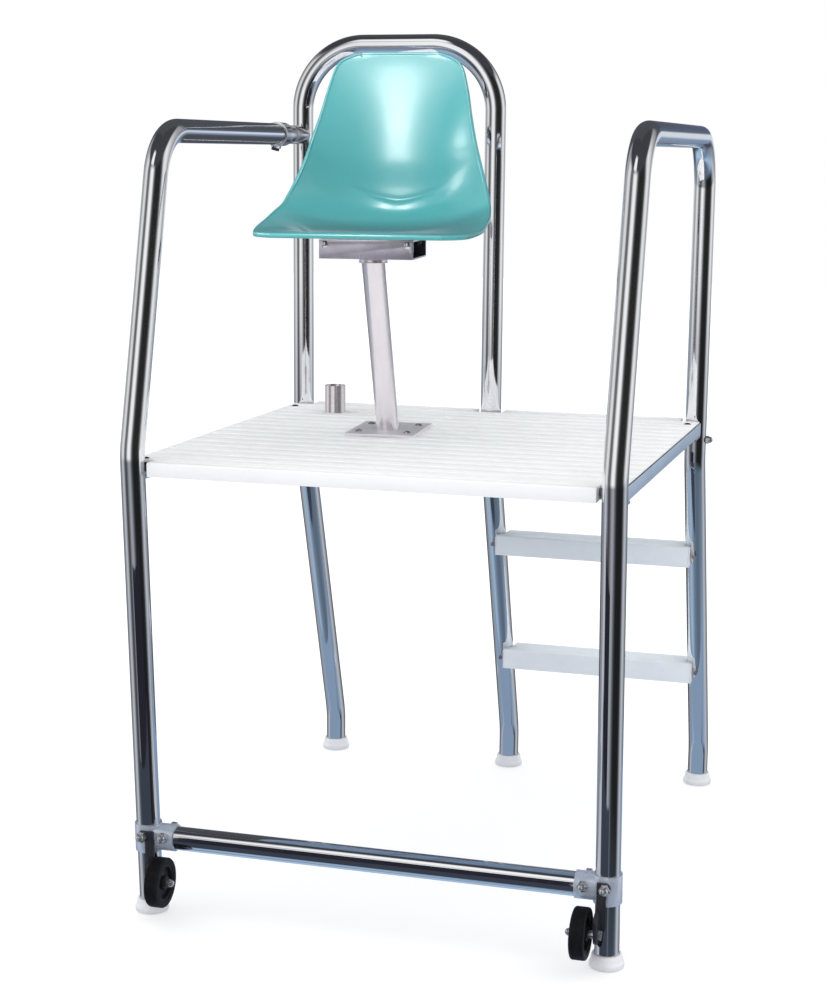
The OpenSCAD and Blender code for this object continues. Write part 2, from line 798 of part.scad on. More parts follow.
// Bolts from side to side through the back tubes, with their heads on the brackets
frame_head_h = 6.5;
frame_thread = 7;
module frame_bolts() {
    color(steel) in_place() for (t = [[left_x, -1], [ladder_x, -1], [right_x, 1]])
        translate([t[0], base_depth, frame_bolt_z]) rotate([0, t[1] * 90, 0]) {
            translate([0, 0, -tube_r - lug_t])
                cylinder(d = frame_bolt_d, h = tube_d + lug_t + frame_thread - 1);
            translate([0, 0, -tube_r - lug_t - frame_head_h]) hex(hex_ratio * frame_bolt_d, frame_head_h);
        }
}

module acorn_nuts() {
    color(steel) in_place() for (t = [[left_x, -1], [ladder_x, -1], [right_x, 1]])
        translate([t[0], base_depth, frame_bolt_z]) rotate([0, t[1] * 90, 0])
            translate([0, 0, tube_r]) difference() {
                cap_nut(frame_bolt_d);
                translate([0, 0, -over]) cylinder(d = frame_bolt_d + tap_fit, h = frame_thread + over);
            }
}

// Front face of a tread whose top is at a height
function tread_front(z) = ladder_y(z) - tube_run - tread_lead;
tread_from = ladder_x + tread_inset;
tread_to = right_x - tread_inset;
cap_t = 3;
tread_lip_h = 20;
tread_bolt_end = 8;
tread_head_h = 5;
tread_rib_h = 1.5;

// Room for the two leaning ladder tubes beside a tread
module ladder_room(z) {
    for (x = [ladder_x, right_x])
        translate([x, ladder_y(z), z]) rotate([flare_angle, 0, 0])
            cylinder(r = tube_r + fit, h = 3 * tread_h, center = true);
}

// Section of a tread's front box, as seen from its right end
module box_section(inset) {
    round_r = 4;
    translate([inset, inset]) square([box_d - 2 * inset, tread_h - 2 * inset - (inset == 0 ? round_r : 0)]);
    if (inset == 0) {
        translate([round_r, 0]) square([box_d - round_r, tread_h]);
        translate([round_r, tread_h - round_r]) circle(r = round_r, $fn = 32);
    }
}

module tread(z) {
    span = [ladder_x + tube_r + slip, right_x - tube_r - slip];
    ribs = 6;
    rib_gap = (tread_d - box_d) / ribs;
    color(pale) in_place() difference() {
        translate([0, tread_front(z), z - tread_h]) union() {
            translate([tread_from + cap_t, 0, 0]) rotate([90, 0, 90])
                linear_extrude(height = tread_to - tread_from - 2 * cap_t) difference() {
                    box_section(0);
                    box_section(tread_wall);
                }
            translate([span[0], 0, 0]) rotate([90, 0, 90]) linear_extrude(height = span[1] - span[0]) {
                translate([box_d - over, tread_h - tread_wall - tread_rib_h])
                    square([tread_d - box_d + over, tread_wall]);
                for (n = [0 : ribs - 1])
                    translate([box_d + rib_gap * (n + 0.3), tread_h - 2 * tread_rib_h])
                        square([rib_gap * 0.6, 2 * tread_rib_h]);
                translate([tread_d - tread_wall, tread_h - tread_lip_h]) square([tread_wall, tread_lip_h]);
            }
        }
        ladder_room(z);
    }
}

module upper_tread() { tread(upper_z); }
module lower_tread() { tread(lower_z); }

// Caps with long plugs that close the front boxes and take the tread bolts
module tread_end_caps() {
    plug = 2 * tube_r;
    color(white) in_place() for (z = [upper_z, lower_z], side = [-1, 1]) {
        x = side < 0 ? tread_from : tread_to;
        difference() {
            translate([x, tread_front(z), z - tread_h]) union() {
                translate([side < 0 ? 0 : -cap_t, 0, 0]) rotate([90, 0, 90])
                    linear_extrude(height = cap_t) box_section(0);
                translate([side < 0 ? cap_t : -cap_t - plug, 0, 0]) rotate([90, 0, 90])
                    linear_extrude(height = plug) box_section(tread_wall + tap_fit);
            }
            ladder_room(z);
            translate([side < 0 ? ladder_x : right_x, tread_front(z) + tread_bolt_end, z - tread_h / 2])
                rotate([-90, 0, 0]) cylinder(d = tread_bolt_d + tap_fit, h = tread_d);
        }
    }
}

// Bolts from the back of the ladder tubes into the treads, on wedge washers that meet the leaning tubes
module tread_bolts() {
    washer_r = 0.95 * tread_bolt_d;
    slope = washer_r * tan(flare_angle);
    color(steel) in_place() for (z = [upper_z, lower_z], x = [ladder_x, right_x]) {
        mid = z - tread_h / 2;
        back = ladder_y(mid) + tube_run + slope + slip;
        translate([x, back, mid]) rotate([90, 0, 0])
            cylinder(d = tread_bolt_d, h = back - tread_front(z) - tread_bolt_end - 1);
        translate([x, back, mid]) rotate([-90, 0, 0]) button_head(2 * washer_r, tread_head_h);
        translate([x, back, mid]) rotate([90, 0, 0]) difference() {
            cylinder(r = washer_r, h = 2 * slope + 5);
            translate([0, 0, -over]) cylinder(d = tread_bolt_d, h = 2 * slope + 5 + 2 * over);
            translate([0, 0, back - ladder_y(mid)]) rotate([flare_angle - 90, 0, 0])
                cylinder(r = tube_r + fit, h = 3 * tube_d, center = true);
        }
    }
}

// Leaning post with its base plate and the level disc that carries the swivel
module seat_post() {
    foot_at = [seat_x, post_y, plate_top];
    top_at = [seat_x, swivel_y, disc_top - disc_t];
    d = unit(top_at - foot_at);
    in_between = disc_top - disc_t - plate_top;
    color(satin) in_place() difference() {
        union() {
            translate([seat_x, plate_y, deck_z]) rotate([0, 0, plate_turn])
                linear_extrude(height = plate_t) square([plate_w, plate_d], center = true);
            intersection() {
                difference() {
                    bar(foot_at - d * tube_d, top_at + d * tube_d, tube_r);
                    bar(foot_at - d * (tube_d + over), top_at + d * (tube_d + over), bore_r);
                }
                translate([seat_x - 2 * tube_d, 0, plate_top - over])
                    cube([4 * tube_d, 2 * post_y, in_between + 2 * over]);
            }
            translate([seat_x, swivel_y, disc_top - disc_t]) cylinder(d = disc_d, h = disc_t);
        }
        translate([seat_x, swivel_y, disc_top - disc_t - over])
            cylinder(r = pin_d / 2 + fit, h = disc_t + 2 * over);
        for (p = plate_bolts) translate([p.x, p.y, deck_z - over])
            cylinder(d = plate_bolt_d + bolt_fit, h = plate_t + 2 * over);
    }
}

module base_plate_bolts() {
    nut_h = 8;
    tail = 12;
    under = deck_under - bearer_h;
    color(steel) in_place() for (p = plate_bolts)
        translate([p.x, p.y, 0]) {
            translate([0, 0, under - tail]) cylinder(d = plate_bolt_d, h = plate_top - under + tail);
            translate([0, 0, plate_top]) button_head(1.8 * plate_bolt_d, 4.5);
            translate([0, 0, under - nut_h]) hex(hex_ratio * plate_bolt_d, nut_h);
        }
}

// Bolt that stands up through the disc and carries the seat
pin_past = 18;
pin_head_h = 6;
pin_washer_t = 2;
pin_nut_h = 11;
pin_top = bracket_z + sheet_t + pin_past;
module swivel_bolt() {
    color(steel) in_place() translate([seat_x, swivel_y, 0]) {
        translate([0, 0, disc_top - disc_t]) cylinder(d = pin_d, h = pin_top - disc_top + disc_t);
        translate([0, 0, disc_top - disc_t - pin_head_h]) hex(1.4 * pin_d, pin_head_h);
    }
}

// Flanged bush in the floor of the seat bracket
module swivel_bush() {
    color(nylon) in_seat() difference() {
        union() {
            translate([0, 0, bracket_z - flange_t]) cylinder(d = disc_d - 8, h = flange_t);
            translate([0, 0, bracket_z]) cylinder(r = bush_r, h = sheet_t);
        }
        translate([0, 0, bracket_z - flange_t - over])
            cylinder(r = pin_d / 2 + running, h = flange_t + sheet_t + 2 * over);
    }
}

// Washer and nut that hold the bracket down on the swivel bolt
module swivel_nut() {
    base = bracket_z + sheet_t + slip;
    color(steel) in_place() translate([seat_x, swivel_y, base]) difference() {
        union() {
            cylinder(d = 2 * pin_d, h = pin_washer_t);
            translate([0, 0, pin_washer_t]) hex(1.5 * pin_d, pin_nut_h);
        }
        translate([0, 0, -over]) cylinder(d = pin_d + tap_fit, h = pin_washer_t + pin_nut_h + 2 * over);
    }
}

module bracket_screw_points() {
    for (sx = [-1, 1], sy = [-1, 1])
        translate([sx * (bracket_w / 2 - bracket_screw_in), sy * bracket_d / 2, bracket_screw_z])
            rotate([-sy * 90, 0, 0]) children();
}

// Channel under the seat, open at both ends
module seat_bracket() {
    color(satin) in_seat() difference() {
        translate([-bracket_w / 2, 0, bracket_z]) rotate([90, 0, 90])
            linear_extrude(height = bracket_w) difference() {
                translate([-bracket_d / 2, 0]) square([bracket_d, bracket_h]);
                translate([sheet_t - bracket_d / 2, sheet_t]) square([bracket_d - 2 * sheet_t, bracket_h]);
            }
        translate([0, 0, bracket_z - over]) cylinder(r = bush_r + fit, h = sheet_t + 2 * over);
        bracket_screw_points() cylinder(d = seat_screw_d + bolt_fit, h = 4 * sheet_t, center = true);
    }
}

function boss_points() = [for (sx = [-1, 1], sy = [-1, 1]) [sx * boss_w / 2, boss_shift + sy * boss_l / 2]];

// Plate under the shell, with flanges down inside the bracket's walls
module seat_plate() {
    flange = 20;
    in_d = bracket_d - 2 * sheet_t - 2 * fit;
    color(satin) in_seat() difference() {
        translate([-bracket_w / 2, 0, bracket_top]) rotate([90, 0, 90]) linear_extrude(height = bracket_w) {
            translate([-bracket_d / 2, 0]) square([bracket_d, sheet_t]);
            translate([-in_d / 2, -flange]) square([sheet_t, flange]);
            translate([in_d / 2 - sheet_t, -flange]) square([sheet_t, flange]);
        }
        bracket_screw_points() cylinder(d = seat_screw_d + bolt_fit, h = 5 * sheet_t, center = true);
        for (p = boss_points()) translate([p.x, p.y, bracket_top - over])
            cylinder(d = seat_screw_d + bolt_fit, h = sheet_t + 2 * over);
    }
}

module bracket_screws() {
    color(steel) in_seat() bracket_screw_points() {
        button_head(1.9 * seat_screw_d, seat_screw_d / 2);
        translate([0, 0, -bracket_screw_in]) cylinder(d = seat_screw_d, h = bracket_screw_in);
    }
}

// Screws up through the plate into the shell's bosses
module seat_screws() {
    color(steel) in_seat() for (p = boss_points()) translate([p.x, p.y, bracket_top]) {
        translate([0, 0, -seat_hex_h]) hex(hex_ratio * seat_screw_d, seat_hex_h);
        cylinder(d = seat_screw_d, h = sheet_t + seat_screw_in);
    }
}

// Seat shell, in thousandths of its depth, height and half width. The middle line runs from the front
// edge to the top, as [depth, height].
middle_shape = [[-394, 39], [-357, 49], [-270, 47], [-145, 36], [41, 28], [218, 28], [373, 44], [488, 85],
    [564, 161], [575, 249], [564, 412], [568, 593], [583, 775], [598, 930], [606, 1000]];
// The side edge beside each of those points, as [half width, depth, height]
side_shape = [[741, -369, 36], [905, -315, 39], [966, -220, 47], [1000, -100, 62], [996, 41, 93],
    [983, 156, 127], [948, 266, 171], [905, 332, 241], [858, 378, 316], [806, 415, 409],
    [754, 438, 518], [694, 494, 663], [638, 550, 824], [560, 583, 948], [371, 604, 1000]];
middle_line = [for (p = middle_shape) [p[0] * seat_l, p[1] * seat_h] / 1000];
side_line = [for (p = side_shape) [p[0] * seat_w / 2, p[1] * seat_l, p[2] * seat_h] / 1000];
rows = 28;
cols = 16;

// Smooth curve through a list of points, at a place counted in points
function pick(list, i) = list[min(max(i, 0), len(list) - 1)];
function curve(list, s) = let (i = floor(s), t = s - i, a = pick(list, i - 1), b = pick(list, i),
    c = pick(list, i + 1), d = pick(list, i + 2))
    0.5 * (2 * b + (c - a) * t + (2 * a - 5 * b + 4 * c - d) * t * t + (3 * b - a - 3 * c + d) * t * t * t);

// A point of the shell's upper face: s runs from the front to the top, t from side to side
function shell_at(s, t) = let (m = curve(middle_line, s), e = curve(side_line, s), k = pow(abs(t), 2.3))
    [e[0] * t, m[0] + (e[1] - m[0]) * k, m[1] + (e[2] - m[1]) * k + seat_base];
function shell_along(i) = i * (len(middle_line) - 1) / rows;
function shell_across(j) = sin(90 * (2 * j / cols - 1));
function shell_point(i, j) = shell_at(shell_along(i), shell_across(j));
function shell_normal(i, j) = let (s = shell_along(i), t = shell_across(j), h = 0.02,
    s0 = max(s - h, 0), s1 = min(s + h, len(middle_line) - 1), t0 = max(t - h, -1), t1 = min(t + h, 1))
    unit(cross(shell_at(s, t1) - shell_at(s, t0), shell_at(s1, t) - shell_at(s0, t)));

// The edge of the grid, counted round from the front left corner
edge = concat([for (j = [0 : cols - 1]) [0, j]], [for (i = [0 : rows - 1]) [i, cols]],
    [for (j = [cols : -1 : 1]) [rows, j]], [for (i = [rows : -1 : 1]) [i, 0]]);
edge_n = len(edge);
function edge_point(k) = shell_point(edge[k % edge_n][0], edge[k % edge_n][1]);
function edge_normal(k) = shell_normal(edge[k % edge_n][0], edge[k % edge_n][1]);
function edge_way(k) = edge_point((k + 1) % edge_n) - edge_point((k + edge_n - 1) % edge_n);
function edge_out(k) = unit(cross(edge_way(k), edge_normal(k)));

shell_top = [for (i = [0 : rows], j = [0 : cols]) shell_point(i, j)];
shell_low = [for (i = [0 : rows], j = [0 : cols]) shell_point(i, j) - shell_normal(i, j) * shell_t];

// Rings of the rolled rim, each at a reach outside the edge and a depth under it
function rim_ring(reach, depth) =
    [for (k = [0 : edge_n - 1]) edge_point(k) + edge_out(k) * reach - edge_normal(k) * depth];
grid_n = (rows + 1) * (cols + 1);
function top_id(i, j) = i * (cols + 1) + j;
function low_id(i, j) = grid_n + top_id(i, j);
function ring_id(r, k) = 2 * grid_n + r * edge_n + k % edge_n;
function edge_top_id(k) = top_id(edge[k % edge_n][0], edge[k % edge_n][1]);
function edge_low_id(k) = low_id(edge[k % edge_n][0], edge[k % edge_n][1]);

// Two triangles for a four-sided face, given its corners in turn
function halves(a, b, c, d) = [[a, b, c], [a, c, d]];
function ring_face(r, k) = halves(ring_id(r, k), ring_id(r, k + 1), ring_id(r + 1, k + 1), ring_id(r + 1, k));

module shell_body() {
    points = concat(shell_top, shell_low, rim_ring(rim_out, 3), rim_ring(rim_out, rim_drop),
        rim_ring(1, rim_drop));
    tops = [for (i = [0 : rows - 1], j = [0 : cols - 1])
        each halves(top_id(i, j), top_id(i + 1, j), top_id(i + 1, j + 1), top_id(i, j + 1))];
    lows = [for (i = [0 : rows - 1], j = [0 : cols - 1])
        each halves(low_id(i, j), low_id(i, j + 1), low_id(i + 1, j + 1), low_id(i + 1, j))];
    rims = [for (k = [0 : edge_n - 1]) each concat(
        halves(edge_top_id(k), edge_top_id(k + 1), ring_id(0, k + 1), ring_id(0, k)),
        ring_face(0, k), ring_face(1, k),
        halves(ring_id(2, k), ring_id(2, k + 1), edge_low_id(k + 1), edge_low_id(k)))];
    polyhedron(points = points, faces = concat(tops, lows, rims), convexity = 6);
}

module seat_shell() {
    color(teal) in_seat() difference() {
        union() {
            shell_body();
            for (p = boss_points()) translate([p.x, p.y, seat_base])
                cylinder(d = boss_d, h = boss_h, $fn = 32);
        }
        for (p = boss_points()) translate([p.x, p.y, seat_base - over])
            cylinder(d = seat_screw_d + 2 * tap_fit, h = seat_screw_in + 2 * over, $fn = 24);
    }
}

// Sleeve for an umbrella pole, welded to a flange under the deck, with a drained floor
module umbrella_sleeve() {
    floor_t = 4;
    flange_w = 2 * tube_d;
    flange_l = 80;
    drain_d = 12;
    color(satin) in_place() translate([sleeve_x, sleeve_y, 0]) difference() {
        union() {
            translate([0, 0, deck_z - sleeve_down]) cylinder(r = tube_r, h = sleeve_down + sleeve_up);
            translate([-flange_w / 2, -flange_l / 2, deck_under - lug_t]) cube([flange_w, flange_l, lug_t]);
        }
        translate([0, 0, deck_z - sleeve_down + floor_t]) cylinder(r = bore_r, h = sleeve_down + sleeve_up);
        translate([0, 0, deck_z - sleeve_down - over]) cylinder(d = drain_d, h = floor_t + 2 * over);
    }
}

// Wheel bracket: a tab under the tee's cap nut, a strap down from it, and an arm bent forward
module wheel_bracket(side, arm_in) {
    inner = track / 2 - arm_in;
    nut_x = track / 2;
    tab_r = 11;
    tab_from = min(inner, nut_x - tab_r);
    strap_w = 18;
    strap_end = 4;
    // The axle's place below and ahead of the bolt, square to the leg
    down = (bar_z - wheel_z) * cos(front_lean) - (bar_y - wheel_y) * sin(front_lean);
    ahead = (bar_y - wheel_y) * cos(front_lean) + (bar_z - wheel_z) * sin(front_lean);
    arm_top = down - arm_h;
    arm_back = ahead - tee_r;
    color(black) in_place() difference() {
        mirror([side > 0 ? 0 : 1, 0, 0]) translate([0, bar_y, bar_z]) rotate([90 + front_lean, 0, 0]) {
            translate([0, 0, tee_r]) linear_extrude(height = arm_t) {
                translate([tab_from, 0]) square([nut_x - tab_from, tee_lift + tab_r]);
                translate([nut_x, tee_lift]) circle(r = tab_r);
                translate([inner, strap_end - down]) square([strap_w, down - strap_end + tee_lift]);
            }
            translate([inner, -down, ahead]) rotate([0, 90, 0]) linear_extrude(height = arm_t) {
                circle(d = arm_w);
                square([arm_back - 1, arm_h]);
                translate([-arm_w / 2, 0]) square([arm_w / 2, arm_h - arm_w / 2]);
                translate([0, arm_h - arm_w / 2]) circle(d = arm_w);
            }
        }
        tee_hole(side, 0);
        translate([0, wheel_y, wheel_z]) rotate([0, side * 90, 0]) cylinder(d = axle_d + bolt_fit, h = track);
    }
}

module left_wheel_bracket() { wheel_bracket(-1, left_arm_in); }
module right_wheel_bracket() { wheel_bracket(1, right_arm_in); }

module at_wheel(side) {
    in_place() translate([side * wheel_x, wheel_y, wheel_z]) rotate([0, side * 90, 0]) children();
}

// Tyre: a ring with rounded shoulders
module tyre(side) {
    round_r = 4;
    color(black) at_wheel(side) rotate_extrude() {
        translate([hub_d / 2, -tyre_w / 2]) square([(tyre_d - hub_d) / 2 - round_r, tyre_w]);
        translate([hub_d / 2, round_r - tyre_w / 2]) square([(tyre_d - hub_d) / 2, tyre_w - 2 * round_r]);
        for (s = [-1, 1]) translate([tyre_d / 2 - round_r, s * (tyre_w / 2 - round_r)])
            circle(r = round_r, $fn = 32);
    }
}

// Hub: a web with a boss, running on the axle
module hub(side) {
    bore = axle_d / 2 + running;
    web_t = 10;
    rim_t = 5;
    boss_wall = 9;
    set_in = 2;
    color(black) at_wheel(side) rotate_extrude() {
        translate([bore, hub_play - tyre_w / 2]) square([boss_wall, tyre_w - 2 * hub_play]);
        translate([bore, -web_t / 2]) square([hub_d / 2 - bore, web_t]);
        translate([hub_d / 2 - rim_t, set_in - tyre_w / 2]) square([rim_t, tyre_w - 2 * set_in]);
    }
}

module left_tyre() { tyre(-1); }
module left_hub() { hub(-1); }
module right_tyre() { tyre(1); }
module right_hub() { hub(1); }

// Axle bolts, with their heads outside the arms
nut_face = tyre_w / 2 + hub_play;
axle_thread = 7;
axle_head_h = 6.5;
spacer_wall = 3;
function arm_in(side) = side < 0 ? left_arm_in : right_arm_in;
module wheel_axles() {
    color(steel) for (side = [-1, 1]) {
        arm_out = wheel_in - arm_in(side) + arm_t;
        at_wheel(side) {
            translate([0, 0, -nut_face - axle_thread])
                cylinder(d = axle_d, h = nut_face + axle_thread + arm_out);
            translate([0, 0, arm_out]) hex(hex_ratio * axle_d, axle_head_h);
        }
    }
}

module axle_cap_nuts() {
    color(steel) for (side = [-1, 1]) at_wheel(side)
        translate([0, 0, -nut_face]) rotate([180, 0, 0]) difference() {
            cap_nut(axle_d);
            translate([0, 0, -over]) cylinder(d = axle_d + tap_fit, h = axle_thread + 0.4 + over);
        }
}

// Spacers between the wheels and the arms
module axle_spacers() {
    color(steel) for (side = [-1, 1]) {
        gap = wheel_in - arm_in(side) - nut_face - running;
        at_wheel(side) translate([0, 0, nut_face]) difference() {
            cylinder(d = axle_d + 2 * spacer_wall, h = gap);
            translate([0, 0, -over]) cylinder(d = axle_d + tap_fit, h = gap + 2 * over);
        }
    }
}

left_front_rail();
right_side_rail();
back_hoop();
front_bar();
left_bar_tee();
right_bar_tee();
bar_tee_bolts();
bar_cap_nuts();
rail_end_clamp();
rail_clamp_bolt();
front_left_foot();
front_right_foot();
rear_left_foot();
ladder_foot();
rear_right_foot();
front_deck_board();
deck_board_2();
deck_board_3();
deck_board_4();
deck_board_5();
deck_board_6();
deck_board_7();
deck_board_8();
rear_deck_board();
left_deck_angle();
right_deck_angle();
left_deck_bearer();
right_deck_bearer();
deck_corner_bolts();
rear_left_bracket();
ladder_bracket();
rear_right_bracket();
frame_bolts();
acorn_nuts();
upper_tread();
lower_tread();
tread_end_caps();
tread_bolts();
seat_post();
base_plate_bolts();
swivel_bolt();
swivel_bush();
swivel_nut();
seat_bracket();
seat_plate();
bracket_screws();
seat_shell();
seat_screws();
umbrella_sleeve();
left_wheel_bracket();
right_wheel_bracket();
left_tyre();
left_hub();
right_tyre();
right_hub();
wheel_axles();
axle_cap_nuts();
axle_spacers();
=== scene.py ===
# %% [markdown]
# # A lifeguard chair, dressed in Blender
# The imported model gives the frame of this lesson: every solid of the chair, in metres, with its
# place in its mesh. We load it, keep its box to print at the end, and then finish one piece
# after another. A solid whose shape is right only gets a better material. The others are replaced
# by finer pieces.

# %% Load the frame
import json
import math
import bpy
from mathutils import Matrix, Vector

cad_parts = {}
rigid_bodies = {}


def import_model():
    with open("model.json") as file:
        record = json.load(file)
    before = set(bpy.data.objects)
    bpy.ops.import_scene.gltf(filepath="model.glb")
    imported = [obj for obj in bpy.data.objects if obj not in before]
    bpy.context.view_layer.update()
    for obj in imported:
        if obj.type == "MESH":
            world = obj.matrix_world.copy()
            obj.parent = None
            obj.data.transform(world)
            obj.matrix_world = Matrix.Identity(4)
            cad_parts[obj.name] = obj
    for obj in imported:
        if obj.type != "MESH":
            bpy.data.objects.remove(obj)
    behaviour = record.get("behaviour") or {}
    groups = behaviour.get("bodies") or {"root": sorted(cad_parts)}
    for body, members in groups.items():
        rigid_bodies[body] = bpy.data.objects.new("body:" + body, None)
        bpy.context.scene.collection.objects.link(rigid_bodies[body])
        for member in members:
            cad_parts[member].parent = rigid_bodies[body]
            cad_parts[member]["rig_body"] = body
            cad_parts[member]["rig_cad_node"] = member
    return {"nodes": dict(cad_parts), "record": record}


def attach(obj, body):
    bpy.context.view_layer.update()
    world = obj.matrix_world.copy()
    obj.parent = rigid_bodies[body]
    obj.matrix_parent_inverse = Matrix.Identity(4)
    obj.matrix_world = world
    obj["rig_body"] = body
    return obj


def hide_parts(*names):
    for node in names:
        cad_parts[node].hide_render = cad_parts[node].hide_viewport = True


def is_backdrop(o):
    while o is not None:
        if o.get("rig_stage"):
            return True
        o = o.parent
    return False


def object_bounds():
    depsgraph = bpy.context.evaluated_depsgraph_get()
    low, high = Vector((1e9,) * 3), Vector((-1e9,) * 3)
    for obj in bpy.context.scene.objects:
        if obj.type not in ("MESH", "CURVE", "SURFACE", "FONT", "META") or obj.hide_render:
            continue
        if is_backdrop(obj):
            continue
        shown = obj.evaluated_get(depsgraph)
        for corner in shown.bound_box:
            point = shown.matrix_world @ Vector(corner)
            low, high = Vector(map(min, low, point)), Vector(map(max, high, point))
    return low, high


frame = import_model()
cad_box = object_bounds()
print("CAD box", cad_box)

# %% [markdown]
# ## The camera
# The photograph was taken from the front right, a little above the deck, with a long lens. The
# numbers come from a fit of the frame's corners. The camera comes first, because every later
# choice is seen through it.

# %% Camera
CAMERA_PLACE = Vector((1.11782, -4.06962, 1.54226))
CAMERA_YAW, CAMERA_DOWN, CAMERA_ROLL = 16.47, 11.15, 0.49
LENS_MM, SENSOR_MM, LENS_SHIFT = 70.27, 36, 0.0373


def turned(axis, degrees):
    """A rotation about one axis, as a matrix."""
    return Matrix.Rotation(math.radians(degrees), 4, axis)


camera_data = bpy.data.cameras.new("camera")
camera_data.sensor_width = SENSOR_MM
camera_data.lens = LENS_MM
camera_data.shift_y = LENS_SHIFT
camera = bpy.data.objects.new("camera", camera_data)
bpy.context.scene.collection.objects.link(camera)
camera.matrix_world = (Matrix.Translation(CAMERA_PLACE) @ turned("Z", CAMERA_YAW)
                       @ turned("X", 90 - CAMERA_DOWN) @ turned("Z", CAMERA_ROLL))
bpy.context.scene.camera = camera
print("camera at", tuple(round(v, 3) for v in CAMERA_PLACE))

# %% [markdown]
# ## Tools for node trees
# The room and every finish are node trees. Three small helpers keep them short to write: one adds
# a node with its settings, one joins two nodes, and one mixes two colours by a mask.

# %% Node helpers
FIRST_COLOUR, SECOND_COLOUR, MIXED_COLOUR = 6, 7, 2  # Sockets of a Mix node that is set to colours


def add_node(tree, kind, **settings):
    """Adds a node; a setting called in_0 is its first input, and others are its options."""
    node = tree.nodes.new(kind)
    for key, value in settings.items():
        if key.startswith("in_"):
            node.inputs[int(key[3:])].default_value = value
        else:
            setattr(node, key, value)
    return node


def wire(tree, source, target, out=0, into=0):
    """Joins one node's output to another's input."""
    tree.links.new(source.outputs[out], target.inputs[into])
    return target


def blend_colours(tree, mode, mask, first, second):
    """A Mix node for colours. Its mask and its two sides are nodes, plain values or left open."""
    mix = add_node(tree, "ShaderNodeMix", data_type="RGBA", blend_type=mode)
    for side, index in ((mask, 0), (first, FIRST_COLOUR), (second, SECOND_COLOUR)):
        if isinstance(side, (int, float, tuple)):
            mix.inputs[index].default_value = side
        elif side is not None:
            out = MIXED_COLOUR if side.type == "MIX" else 0
            tree.links.new(side.outputs[out], mix.inputs[index])
    return mix


print("node helpers", [helper.__name__ for helper in (add_node, wire, blend_colours)])

# %% [markdown]
# ## The studio
# Polished tube has no colour of its own: what we see is the room. A photographer hangs dark and
# white cards round such a chair, which draw the long streaks along its tubes. Here the world plays
# that part. It starts with the way that a ray leaves in: its turn to the left or right of the
# camera, and its height. Colour ramps over these two are quicker to draw and to change than real
# cards would be.

# %% World, turn and height
CAMERA_TURN = math.radians(90 - CAMERA_YAW)
world = bpy.data.worlds.new("studio")
bpy.context.scene.world = world
world.use_nodes = True
sky = world.node_tree
sky.nodes.clear()


def add_math(source, operation, out=0, **values):
    """A Math node of the sky after another node."""
    return wire(sky, source, add_node(sky, "ShaderNodeMath", operation=operation, **values), out)


def add_ramp(source, stops):
    """A colour ramp of the sky. A stop is (place, grey) or (place, red, green, blue)."""
    node = wire(sky, source, add_node(sky, "ShaderNodeValToRGB"))
    elements = node.color_ramp.elements
    while len(elements) < len(stops):
        elements.new(0.5)
    for element, stop in zip(elements, stops):
        element.position = stop[0]
    for element, stop in zip(elements, stops):
        rgb = stop[1:] if len(stop) == 4 else (stop[1],) * 3
        element.color = (*rgb, 1)
    return node


ways = wire(sky, add_node(sky, "ShaderNodeTexCoord"), add_node(sky, "ShaderNodeSeparateXYZ"),
            out="Generated")
turn = add_math(ways, "ARCTAN2", out="Y")
wire(sky, ways, turn, out="X", into=1)
turn = add_math(turn, "ADD", in_1=CAMERA_TURN + math.pi)
turn = add_math(turn, "MULTIPLY", in_1=0.5 / math.pi)
turn = add_math(turn, "FRACT")
height = add_math(ways, "MULTIPLY_ADD", out="Z", in_1=0.5, in_2=0.5)
print("the world starts with", len(sky.nodes), "nodes")

# %% [markdown]
# Three rings of cards hang round the chair: one at the height of a standing tube's reflections,
# one below it, and one that the undersides see, near the ground. The lower rings are bluer, as the
# tubes are under the deck in the photograph. Each stop is a turn in degrees, positive to the right
# of the way to the camera, and the grey of the card there.

# %% World, cards
HIGH_CARDS = [(-180, 0.50), (-144, 0.50), (-118, 0.34), (-98, 0.78), (-82, 0.74), (-70, 0.16),
              (-53, 0.14), (-43, 0.66), (-33, 0.97), (-17, 0.92), (-6, 0.30), (4, 0.06),
              (16, 0.02), (52, 0.02), (66, 0.10), (78, 0.60), (92, 0.90), (108, 0.72),
              (130, 0.34), (180, 0.50)]
LOW_CARDS = [(-180, 0.30), (-144, 0.28), (-116, 0.27), (-97, 0.60), (-81, 0.42), (-67, 0.10),
             (-53, 0.06), (-41, 0.20), (-29, 0.38), (-17, 0.35), (-6, 0.15), (6, 0.04),
             (17, 0.015), (53, 0.015), (67, 0.035), (81, 0.30), (97, 0.60), (116, 0.35),
             (144, 0.20), (180, 0.30)]
GROUND_CARDS = [(-180, 0.50), (-144, 0.60), (-116, 0.30), (-97, 0.30), (-81, 0.45), (-67, 0.50),
                (-53, 0.38), (-41, 0.28), (-29, 0.22), (-6, 0.18), (6, 0.155), (17, 0.15),
                (29, 0.16), (41, 0.19), (53, 0.27), (67, 0.40), (81, 0.52), (97, 0.45),
                (116, 0.30), (144, 0.20), (180, 0.50)]
COOL, BLUE = (0.93, 0.97, 1.06), (0.72, 1.0, 1.36)


def hang_cards(stops, tint=(1, 1, 1)):
    """A ring of cards: a ramp over the turn, in greys of one tint."""
    return add_ramp(turn, [((angle + 180) / 360, *(min(grey * c, 1) for c in tint))
                           for angle, grey in stops])


high_cards = hang_cards(HIGH_CARDS)
low_cards = hang_cards(LOW_CARDS, COOL)
ground_cards = hang_cards(GROUND_CARDS, BLUE)
print("cards", len(HIGH_CARDS), len(LOW_CARDS), len(GROUND_CARDS))

